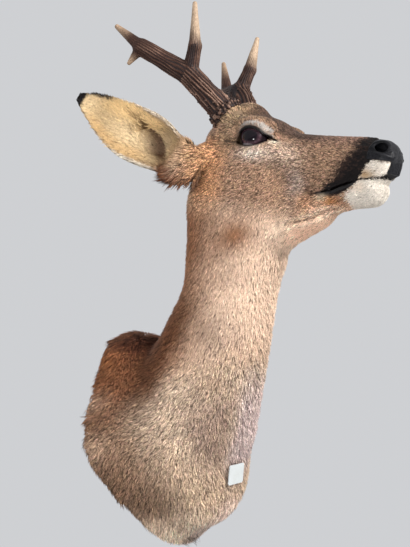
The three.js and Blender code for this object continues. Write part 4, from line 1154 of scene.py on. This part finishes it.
def hair_material():
    """locks of hair: their own colour, streaked with single hairs"""
    mat, nt, bs = tree_of("deer_hair")
    uv = node(nt, "ShaderNodeUVMap", uv_map="lock").outputs["UV"]
    mp = node(nt, "ShaderNodeMapping")
    mp.inputs["Scale"].default_value = (9.0, 0.9, 1.0)
    nt.links.new(uv, mp.inputs["Vector"])
    hairs = texture(nt, "ShaderNodeTexNoise", 1.0, mp.outputs["Vector"], Detail=2.0)
    grit = texture(nt, "ShaderNodeTexNoise", 900.0, None, Detail=1.0)
    col = mixed(nt, "MULTIPLY", attribute(nt, "tint"), ramp_node(nt, hairs.outputs["Fac"], [(0.25, (0.62, 0.60, 0.58)), (0.75, (1.32, 1.32, 1.32))]))
    col = mixed(nt, "MULTIPLY", col, ramp_node(nt, grit.outputs["Fac"], [(0.3, (0.88, 0.88, 0.88)), (0.7, (1.12, 1.12, 1.12))]))
    # each hair is banded dark and pale, which is what flecks the coat
    mb = node(nt, "ShaderNodeMapping")
    mb.inputs["Scale"].default_value = (2.1, 5.4, 1.0)
    nt.links.new(uv, mb.inputs["Vector"])
    rings = texture(nt, "ShaderNodeTexNoise", 1.0, mb.outputs["Vector"], Detail=1.0)
    banded = mixed(nt, "MULTIPLY", col, ramp_node(nt, rings.outputs["Fac"], [(0.34, (0.27, 0.24, 0.21)), (0.49, (1.0, 1.0, 1.0)), (0.62, (1.58, 1.56, 1.52))]))
    part = node(nt, "ShaderNodeSeparateColor")
    nt.links.new(attribute(nt, "band"), part.inputs["Color"])
    col = mixed(nt, "MIX", col, banded, part.outputs["Red"])
    nt.links.new(col, bs.inputs["Base Color"])
    nt.links.new(span(nt, hairs.outputs["Fac"], 0.62, 0.86), bs.inputs["Roughness"])
    set_in(bs, Specular_IOR_Level=0.16, Sheen_Weight=0.04, Sheen_Roughness=0.5)
    return mat


def skin_material():
    """short hair and skin under the coat; lips and lids are bare and a little moist"""
    mat, nt, bs = tree_of("deer_skin")
    fine = texture(nt, "ShaderNodeTexNoise", 1400.0, None, Detail=3.0)
    soft = texture(nt, "ShaderNodeTexNoise", 260.0, None, Detail=2.0)
    col = mixed(nt, "MULTIPLY", attribute(nt, "tint"), ramp_node(nt, fine.outputs["Fac"], [(0.3, (0.70, 0.69, 0.68)), (0.7, (1.25, 1.25, 1.25))]))
    col = mixed(nt, "MULTIPLY", col, ramp_node(nt, soft.outputs["Fac"], [(0.3, (0.86, 0.85, 0.84)), (0.7, (1.12, 1.12, 1.12))]))
    nt.links.new(col, bs.inputs["Base Color"])
    bare = attribute(nt, "bare")
    rough = node(nt, "ShaderNodeSeparateColor")
    nt.links.new(bare, rough.inputs["Color"])
    nt.links.new(span(nt, rough.outputs["Red"], 0.88, 0.30), bs.inputs["Roughness"])
    set_in(bs, Specular_IOR_Level=0.25)
    bump(nt, bs, fine.outputs["Fac"], 0.5, 0.0005)
    return mat


def nose_material():
    """cobbled leather of the nose"""
    mat, nt, bs = tree_of("nose_leather")
    cells = texture(nt, "ShaderNodeTexVoronoi", 620.0, None, Randomness=0.9)
    fine = texture(nt, "ShaderNodeTexNoise", 300.0, None, Detail=3.0)
    col = ramp_node(nt, cells.outputs["Distance"], [(0.0, (0.017, 0.017, 0.020)), (0.8, (0.006, 0.006, 0.007))])
    col = mixed(nt, "MULTIPLY", col, attribute(nt, "tint"))
    nt.links.new(col, bs.inputs["Base Color"])
    nt.links.new(span(nt, fine.outputs["Fac"], 0.36, 0.52), bs.inputs["Roughness"])
    set_in(bs, Specular_IOR_Level=0.13)
    bump(nt, bs, cells.outputs["Distance"], 0.35, 0.0005)
    return mat


def antler_material():
    mat, nt, bs = tree_of("antler_bone")
    fine = texture(nt, "ShaderNodeTexNoise", 700.0, None, Detail=4.0)
    soft = texture(nt, "ShaderNodeTexNoise", 90.0, None, Detail=3.0)
    col = mixed(nt, "MULTIPLY", attribute(nt, "tint"), ramp_node(nt, fine.outputs["Fac"], [(0.3, (0.72, 0.70, 0.68)), (0.7, (1.25, 1.25, 1.25))]))
    col = mixed(nt, "MULTIPLY", col, ramp_node(nt, soft.outputs["Fac"], [(0.3, (0.82, 0.80, 0.78)), (0.7, (1.15, 1.15, 1.15))]))
    nt.links.new(col, bs.inputs["Base Color"])
    nt.links.new(span(nt, fine.outputs["Fac"], 0.42, 0.68), bs.inputs["Roughness"])
    set_in(bs, Specular_IOR_Level=0.22)
    bump(nt, bs, fine.outputs["Fac"], 0.35, 0.0006)
    return mat


def eye_material():
    mat, nt, bs = tree_of("eye_glass")
    streak = texture(nt, "ShaderNodeTexNoise", 900.0, None, Detail=2.0)
    col = mixed(nt, "MULTIPLY", attribute(nt, "tint"), ramp_node(nt, streak.outputs["Fac"], [(0.3, (0.75, 0.75, 0.75)), (0.7, (1.25, 1.25, 1.25))]))
    nt.links.new(col, bs.inputs["Base Color"])
    nt.links.new(span(nt, streak.outputs["Fac"], 0.05, 0.12), bs.inputs["Roughness"])
    set_in(bs, Specular_IOR_Level=0.0, Coat_Weight=0.9, Coat_Roughness=0.02, Coat_IOR=1.33)
    return mat


def wood_material():
    mat, nt, bs = tree_of("board_wood")
    co = node(nt, "ShaderNodeTexCoord").outputs["Object"]
    mp = node(nt, "ShaderNodeMapping")
    mp.inputs["Scale"].default_value = (1.0, 1.0, 0.12)
    nt.links.new(co, mp.inputs["Vector"])
    rings = texture(nt, "ShaderNodeTexNoise", 130.0, mp.outputs["Vector"], Detail=4.0, Distortion=0.6)
    pores = texture(nt, "ShaderNodeTexNoise", 1500.0, mp.outputs["Vector"], Detail=2.0)
    col = ramp_node(nt, rings.outputs["Fac"], [(0.25, (0.115, 0.058, 0.027)), (0.5, (0.240, 0.132, 0.064)), (0.75, (0.345, 0.205, 0.108))])
    col = mixed(nt, "MULTIPLY", col, ramp_node(nt, pores.outputs["Fac"], [(0.35, (0.72, 0.70, 0.68)), (0.6, (1.08, 1.08, 1.08))]))
    nt.links.new(col, bs.inputs["Base Color"])
    nt.links.new(span(nt, pores.outputs["Fac"], 0.45, 0.7), bs.inputs["Roughness"])
    bump(nt, bs, pores.outputs["Fac"], 0.25, 0.0004)
    return mat


def steel_material():
    mat, nt, bs = tree_of("steel")
    n = texture(nt, "ShaderNodeTexNoise", 800.0, None, Detail=3.0)
    col = ramp_node(nt, n.outputs["Fac"], [(0.3, (0.40, 0.40, 0.39)), (0.7, (0.60, 0.60, 0.58))])
    nt.links.new(col, bs.inputs["Base Color"])
    nt.links.new(span(nt, n.outputs["Fac"], 0.28, 0.48), bs.inputs["Roughness"])
    set_in(bs, Metallic=1.0)
    bump(nt, bs, n.outputs["Fac"], 0.1, 0.0003)
    return mat


def paper_material():
    mat, nt, bs = tree_of("paper")
    n = texture(nt, "ShaderNodeTexNoise", 900.0, None, Detail=4.0)
    w = texture(nt, "ShaderNodeTexNoise", 70.0, None, Detail=2.0)
    col = mixed(nt, "MULTIPLY", ramp_node(nt, n.outputs["Fac"], [(0.3, (0.44, 0.465, 0.47)), (0.7, (0.49, 0.515, 0.52))]), ramp_node(nt, w.outputs["Fac"], [(0.3, (0.93, 0.92, 0.90)), (0.6, (1, 1, 1))]))
    nt.links.new(col, bs.inputs["Base Color"])
    nt.links.new(span(nt, n.outputs["Fac"], 0.5, 0.7), bs.inputs["Roughness"])
    bump(nt, bs, n.outputs["Fac"], 0.15, 0.0002)
    return mat


MATS = {f.__name__[:-9]: f() for f in (hair_material, skin_material, nose_material, antler_material, eye_material, wood_material, steel_material, paper_material)}


def dress(o, mat):
    o.data.materials.clear()
    o.data.materials.append(MATS[mat])
    return o


# ---------------------------------------------------------------- build: skin
def tuck(c, k):
    return np.clip(c * k, 0.002, 1)


AXES = [
    graded([-114, (-48, 1.9), (-16, 1.15), (16, 1.55), (48, 1.15), (114, 1.9)]),
    graded([-327, (-180, 1.2), (-84, 1.65), (3, 3.4)]),
    graded([-107, (100, 3.4), (140, 2.1), (150, 1.6), (228, 1.2), (305, 1.75)]),
]
V, Q = nets(sample(skin_shape, AXES, margin=4.5), AXES)
V, Q = biggest(V, Q)
V = settle(skin_shape, V, 2)
SN = unit(gradient(skin_shape, V, 0.6))
col, fleck, bare, ears_v = marks(V)
pale = ramp(col.mean(1), 0.42, 0.62)
under = 0.60 + 0.20 * bare + 0.30 * pale * (1 - bare)
skin = make_mesh("skin", V, Q, SN, {"tint": np.clip(col * under[:, None], 0.002, 1), "bare": np.repeat(bare[:, None], 3, 1)})
dress(skin, "skin")
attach(skin, "root")
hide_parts("trunk", "neck", "head", "lower_jaw", "ear_right", "ear_left")

# ---------------------------------------------------------------- build: nose pad, eyes, antlers
def nose_shape(p):
    d = skin_shape(p)
    q = to_head(p)
    m = q.copy()
    m[:, 1] = np.abs(m[:, 1])
    return smax(smax(d - 0.30, nose_zone(m), 1.0), -(d + 3.2), 0.6)


axes = [graded([-22, (22, 0.75)]), graded([-327, (-290, 0.75)]), graded([112, (180, 0.75)])]
NV, NQ = nets(sample(nose_shape, axes, margin=3.0), axes)
NV, NQ = biggest(NV, NQ)
NV = settle(nose_shape, NV, 2, 0.5)
q = to_head(NV)
m = np.stack([q[:, 0], np.abs(q[:, 1]), q[:, 2]], 1)
# darker inside the nostril: painted shade in the hollow
nostril_shade = np.exp(-((ell(m, (116, 13.5, 1), (6.5, 5.0, 5.0)) / 2.0) ** 2)) * 0.75
shade = (0.85 + 0.5 * octaves(NV, 7, 91, 3) - nostril_shade)[:, None] * np.ones(3)
nose = make_mesh("nose_pad", NV, NQ, unit(gradient(nose_shape, NV, 0.35)), {"tint": np.clip(shade, 0.15, 1.6)})
dress(nose, "nose")
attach(nose, "root")
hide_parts("nose")

for name, side in (("right", -1.0), ("left", 1.0)):
    mirror = np.array([1, side, 1.0])
    out, fwd, up = (unit((v * mirror) @ HM) for v in (EYE_OUT, EYE_FWD, EYE_UP))
    at = from_head(np.array(EYE_AT) * mirror)
    rows, cols = 56, 96
    th = np.linspace(0, math.pi, rows + 1)
    ph = np.arange(cols) * 2 * math.pi / cols
    TH, PH = np.meshgrid(th, ph, indexing="ij")
    rad = (EYE_R - 0.25) * (1 + 0.030 * np.exp(-((TH / 0.75) ** 2)))
    P = at + (rad * np.cos(TH))[..., None] * out + (rad * np.sin(TH))[..., None] * (np.cos(PH)[..., None] * fwd + np.sin(PH)[..., None] * up)
    P = P.reshape(-1, 3)
    i, j = np.meshgrid(np.arange(rows), np.arange(cols), indexing="ij")
    F = np.stack([i * cols + j, (i + 1) * cols + j, (i + 1) * cols + (j + 1) % cols, i * cols + (j + 1) % cols], -1).reshape(-1, 4)
    if side * np.dot(np.cross(fwd, up), out) * side < 0:
        F = F[:, ::-1]
    a = (P - at) @ fwd
    b = (P - at) @ up
    pupil = (np.abs(a + 0.4) / 7.6) ** 2.4 + (np.abs(b + 0.6) / 4.9) ** 2.4
    ring = np.sqrt(a * a + b * b)
    spoke = noise(np.stack([np.arctan2(b, a) * 9, ring * 0.3, 0 * a], 1), 1.0, 57)
    iris = np.array([0.062, 0.032, 0.040]) * (0.6 + 0.8 * spoke)[:, None]
    c = put(iris, (0.006, 0.004, 0.006), ramp(pupil, 1.6, 0.6))
    c = put(c, (0.010, 0.006, 0.008), ramp(ring, 8.4, 10.6))
    # a pale arc low on the glass eye: painted reflection
    painted_reflection = np.exp(-(((b + 8.4) / 0.75) ** 2)) * ramp(a, -9, -6) * ramp(a, 5, 2)
    c = put(c, (0.42, 0.36, 0.36), 0.85 * painted_reflection)
    o = make_mesh("eye_" + name + "_glass", P, F, None, {"tint": c})
    # both poles are single points
    import bmesh
    bm = bmesh.new()
    bm.from_mesh(o.data)
    bmesh.ops.remove_doubles(bm, verts=bm.verts, dist=1e-6)
    bmesh.ops.recalc_face_normals(bm, faces=bm.faces)
    bm.to_mesh(o.data)
    bm.free()
    dress(o, "eye")
    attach(o, "root")
    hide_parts("eye_" + name)

for k, (name, A) in enumerate(ANTLERS.items()):
    fn = antler_shape(A, 201 + 40 * k)
    pts = np.array(list(A.values()), float)
    lo, hi = pts.min(0) - 20, pts.max(0) + 20
    step = 0.72
    axes = [graded([lo[i], (hi[i], step)]) for i in range(3)]
    AV, AQ = nets(sample(fn, axes, margin=2.0), axes)
    AV, AQ = biggest(AV, AQ)
    AV = settle(fn, AV, 1, 0.5)
    AN = unit(gradient(fn, AV, 0.4))
    col_a, deep = antler_colour(AV, AN, A, 201 + 40 * k)
    o = make_mesh("antler_" + name, AV, AQ, AN, {"tint": col_a})
    dress(o, "antler")
    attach(o, "root")
    base = "antler_" + name
    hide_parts(base + "_beam", base + "_front_tine", base + "_rear_tine", base + "_top")

# ---------------------------------------------------------------- build: coat
rng = np.random.default_rng(20)
TRI = np.concatenate([Q[:, [0, 1, 2]], Q[:, [0, 2, 3]]])
E1, E2 = V[TRI[:, 1]] - V[TRI[:, 0]], V[TRI[:, 2]] - V[TRI[:, 0]]
area = 0.5 * np.linalg.norm(np.cross(E1, E2), axis=1)
centre = V[TRI].mean(1)
cq = to_head(centre)
faceness = ramp(cq[:, 0], -62, -18) * ramp(cq[:, 2], -104, -58)
on_ear = (ears_v[0][TRI[:, 0]] != 0) & (ears_v[1][TRI[:, 0]] > 0.08)
density = 0.98 * (1 - faceness) + 1.9 * faceness
density = np.where(on_ear, 1.5, density)
tone_bare = bare[TRI].mean(1)
density = density * (tone_bare < 0.5)
density = density * ((centre[:, 1] < -2.5) | (np.abs(SN[TRI[:, 0], 1]) < 0.7))
WANT = 238000
expect = density * area
scale = min(1.0, WANT / expect.sum())
count = rng.poisson(expect * scale)
tri = np.repeat(np.arange(len(TRI)), count)
r1, r2 = rng.random(len(tri)), rng.random(len(tri))
flip = r1 + r2 > 1
r1[flip], r2[flip] = 1 - r1[flip], 1 - r2[flip]
w = np.stack([1 - r1 - r2, r1, r2], 1)[:, :, None]
P = (V[TRI[tri]] * w).sum(1)
N = unit((SN[TRI[tri]] * w).sum(1))
c0, fl, br, ears_p = marks(P)
q = to_head(P)
m = np.stack([q[:, 0], np.abs(q[:, 1]), q[:, 2]], 1)
a, b, o_, r = eye_coords(m)
ok = br < 0.45
ok &= ~((r < EYE_R + 0.8) & (o_ > -2))
ok &= nose_zone(m) > 0.8
ok &= ~((m[:, 0] > 121) & (m[:, 2] > -19))
ok &= ~((ell(m, (116, 14, 1), (9, 8, 7)) < 0) & (m[:, 0] > 104))
ok &= ~((np.abs(m[:, 2] - mouth_u(m[:, 0])) < 1.2) & (m[:, 0] > 62))
for name, A in ANTLERS.items():
    cc, ax, _ = antler_parts(A)
    h = (P - cc["coronet"]) @ ax
    rr = np.sqrt(np.maximum(((P - cc["coronet"]) ** 2).sum(1) - h * h, 0))
    ok &= ~((rr < 12.5) & (np.abs(h) < 26))
# nothing grows through the wall side or the pocket of the board
ok &= ~((P[:, 1] > -1.5) & (N[:, 1] > 0.6))
up_ = ramp(P[:, 2], -35, 95)
kk = np.sqrt((P[:, 0] / (BOARD["half"] * (1 - 0.24 * up_))) ** 2 + ((P[:, 2] + 7) / 81.0) ** 2)
ax_out = unit(np.stack([P[:, 0], 0 * P[:, 0], P[:, 2] + 4], 1))
ok &= ~((P[:, 1] > -19) & (kk < 1.06) & ((N * ax_out).sum(1) < 0.15))
P, N, c0, fl, m, q = P[ok], N[ok], c0[ok], fl[ok], m[ok], q[ok]
ears_p = tuple(x[ok] for x in ears_p)
D0 = lie(P, ears_p)
T = unit(D0 - N * (D0 * N).sum(1)[:, None])
B = np.cross(N, T)
swing = rng.normal(0, 0.20, len(P)) + 0.7 * (octaves(P, 26, 61, 2) - 0.5)
T = unit(T + B * swing[:, None])
length, width, height = coat(P, q, None, ears_p)
length *= rng.uniform(0.72, 1.22, len(P))
width *= rng.uniform(0.7, 1.3, len(P))
height *= rng.uniform(0.55, 1.05, len(P))
# flecked hair: bands of dark and light on single locks
g = rng.random(len(P))
tone = 1 + fl * rng.normal(0, 0.24, len(P))
tone = np.where(g < 0.28 * fl, tone * 0.42, tone)
tone = np.where(g > 1 - 0.28 * fl, tone * 1.50, tone)
tone = np.clip(tone, 0.3, 1.7)[:, None]
warm = 1 + rng.normal(0, 0.035, (len(P), 3)) * (0.3 + fl)[:, None]
mid_c = np.clip(c0 * tone * warm, 0.003, 0.95)
root_c = mid_c * (0.60 + 0.28 * ramp(mid_c.mean(1), 0.42, 0.62) * (ears_p[0] == 0) + 0.30 * (ears_p[0] != 0))[:, None]
band = np.clip(fl * 1.35, 0, 1)
tip_k = np.where(rng.random(len(P)) < 0.45 * fl, 0.50, 1.15)[:, None]
tip_c = np.clip(mid_c * tip_k, 0.003, 0.97)
# keep clear of the paper label
LAB_LO, LAB_HI = (np.array(v) * 1000 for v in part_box("label"))
region = np.where(ears_p[0] == -1, 0, np.where(ears_p[0] == 1, 1, np.where((m[:, 0] > -62) & (m[:, 2] > -104), 2, 3)))
names = {0: "ear_right", 1: "ear_left", 2: "head", 3: "body"}
label_pts = np.array([v.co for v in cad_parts["label"].data.vertices]) * 1000
lc = label_pts.mean(0)
_, _, axes_l = np.linalg.svd(label_pts - lc, full_matrices=False)
axes_l[2] *= -np.sign(axes_l[2, 1])  # away from the chest
made = []
for rid, rname in names.items():
    idx = np.nonzero(region == rid)[0]
    if rid == 2:
        idx = idx[np.argsort(m[idx, 0])]
    if rid == 3:
        idx = idx[np.argsort(P[idx, 2])]
    tf = Tufts()
    tf.add(P[idx], N[idx], T[idx], length[idx], width[idx], height[idx], root_c[idx], mid_c[idx], tip_c[idx], band[idx], rng)
    TV, TN, TC, TP, TB = tf.arrays()
    # hair ends before the wall
    TV[:, :, 1] = np.minimum(TV[:, :, 1], -0.15)
    # hair that runs in under the label is pressed flat by it
    loc = (TV - lc) @ axes_l.T
    under_label = (np.abs(loc[:, :, 0]) < 12.6) & (np.abs(loc[:, :, 1]) < 9.6) & (np.abs(loc[:, :, 2]) < 9)
    loc[:, :, 2] = np.where(under_label, np.minimum(loc[:, :, 2], -0.9 - 0.25 * np.arange(5)[None, ::-1]), loc[:, :, 2])
    TV = np.where(under_label[:, :, None], lc + loc @ axes_l, TV)
    most = 32500
    parts = max(1, math.ceil(len(TV) / most))
    for k, sel in enumerate(np.array_split(np.arange(len(TV)), parts)):
        o = tuft_piece("hair_" + rname + (f"_{k + 1}" if parts > 1 else ""), TV[sel], TN[sel], TC[sel], TP[sel], TB[sel], rname)
        dress(o, "hair")
        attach(o, "root")
        made.append((o.name, len(sel)))
print("tufts", made, "area", round(area.sum()), "scale", round(scale, 3))

# ---------------------------------------------------------------- carried-over parts
for name, mat in (("backboard", "wood"), ("hanger", "steel"), ("hanger_screw_left", "steel"), ("hanger_screw_right", "steel"), ("label", "paper")):
    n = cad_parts[name]
    if not n.data.materials:
        n.data.materials.append(MATS[mat])
    for k in range(len(n.data.materials)):
        n.data.materials[k] = MATS[mat]

# ---------------------------------------------------------------- stage: pale floor far below, soft light
def stage_material():
    mat, nt, bs = tree_of("pale_floor")
    n = texture(nt, "ShaderNodeTexNoise", 6.0, None, Detail=4.0)
    nt.links.new(ramp_node(nt, n.outputs["Fac"], [(0.3, (0.37, 0.372, 0.38)), (0.7, (0.405, 0.407, 0.415))]), bs.inputs["Base Color"])
    set_in(bs, Roughness=0.9, Specular_IOR_Level=0.1)
    return mat


me = bpy.data.meshes.new("floor")
side = 9.0
me.from_pydata([(-side, -side, -1.25), (side, -side, -1.25), (side, side, -1.25), (-side, side, -1.25)], [], [(0, 1, 2, 3)])
floor = bpy.data.objects.new("floor", me)
bpy.context.scene.collection.objects.link(floor)
me.materials.append(stage_material())

bpy.context.scene.view_settings.view_transform = "Standard"
world = bpy.data.worlds.new("studio")
bpy.context.scene.world = world
world.use_nodes = True
bg = world.node_tree.nodes["Background"]
bg.inputs["Color"].default_value = (0.62, 0.63, 0.65, 1)
bg.inputs["Strength"].default_value = 1.0


def lamp(name, away, size, power, colour=(1, 1, 1), gloss=True):
    target = Vector((0.0, -0.14, 0.12))
    L = bpy.data.lights.new(name, "AREA")
    L.shape = "RECTANGLE"
    L.size, L.size_y = size
    L.energy = power
    L.color = colour
    o = bpy.data.objects.new(name, L)
    o.visible_glossy = gloss
    bpy.context.scene.collection.objects.link(o)
    d = Vector(away)
    o.location = target + d
    o.rotation_mode = "QUATERNION"
    o.rotation_quaternion = (-d).to_track_quat("-Z", "Y")
    return o


lamp("key", tuple(1.5 * (0.85 * CAM_R + 0.55 * CAM_U - 0.60 * CAM_D)), (0.9, 0.9), 49.0, (1.0, 0.985, 0.96))
lamp("fill", tuple(1.8 * (-0.5 * CAM_R + 0.3 * CAM_U - 0.6 * CAM_D)), (1.8, 1.8), 8.5, (0.96, 0.98, 1.0), False)
lamp("low", tuple(1.7 * (0.35 * CAM_R - 0.75 * CAM_U - 0.55 * CAM_D)), (1.5, 1.5), 17.0, (1.0, 0.99, 0.97), False)
lamp("back", (0.6, 0.9, 1.1), (1.2, 1.2), 11.0, (1.0, 1.0, 1.0), False)
lamp("far_side", (1.6, -0.7, 0.6), (1.4, 1.4), 17.0, (1.0, 0.99, 0.97), False)

# a small lamp that each eye throws back as its glint
for side, px in ((-1.0, (254.0, 139.5)),):
    at = from_head(np.array(EYE_AT) * np.array([1, side, 1.0]))
    cam_at = np.array(bpy.context.scene.camera.matrix_world.translation) * 1000
    ray = unit(CAM_D + CAM_R * (px[0] - 205.0) / 1250.0 - CAM_U * (px[1] - 273.5) / 1250.0)
    w = cam_at - at
    half_b = (ray * w).sum()
    t = -half_b - math.sqrt(max(half_b**2 - ((w * w).sum() - (EYE_R - 0.2) ** 2), 0.0))
    spot_at = cam_at + ray * t
    n = unit(spot_at - at)
    away = ray - 2 * (ray * n).sum() * n
    o = lamp("glint", (0, 0, 1), (0.12, 0.12), 3.4)
    o.location = Vector((spot_at + away * 900) * MM)
    o.rotation_quaternion = Vector(-away).to_track_quat("-Z", "Y")
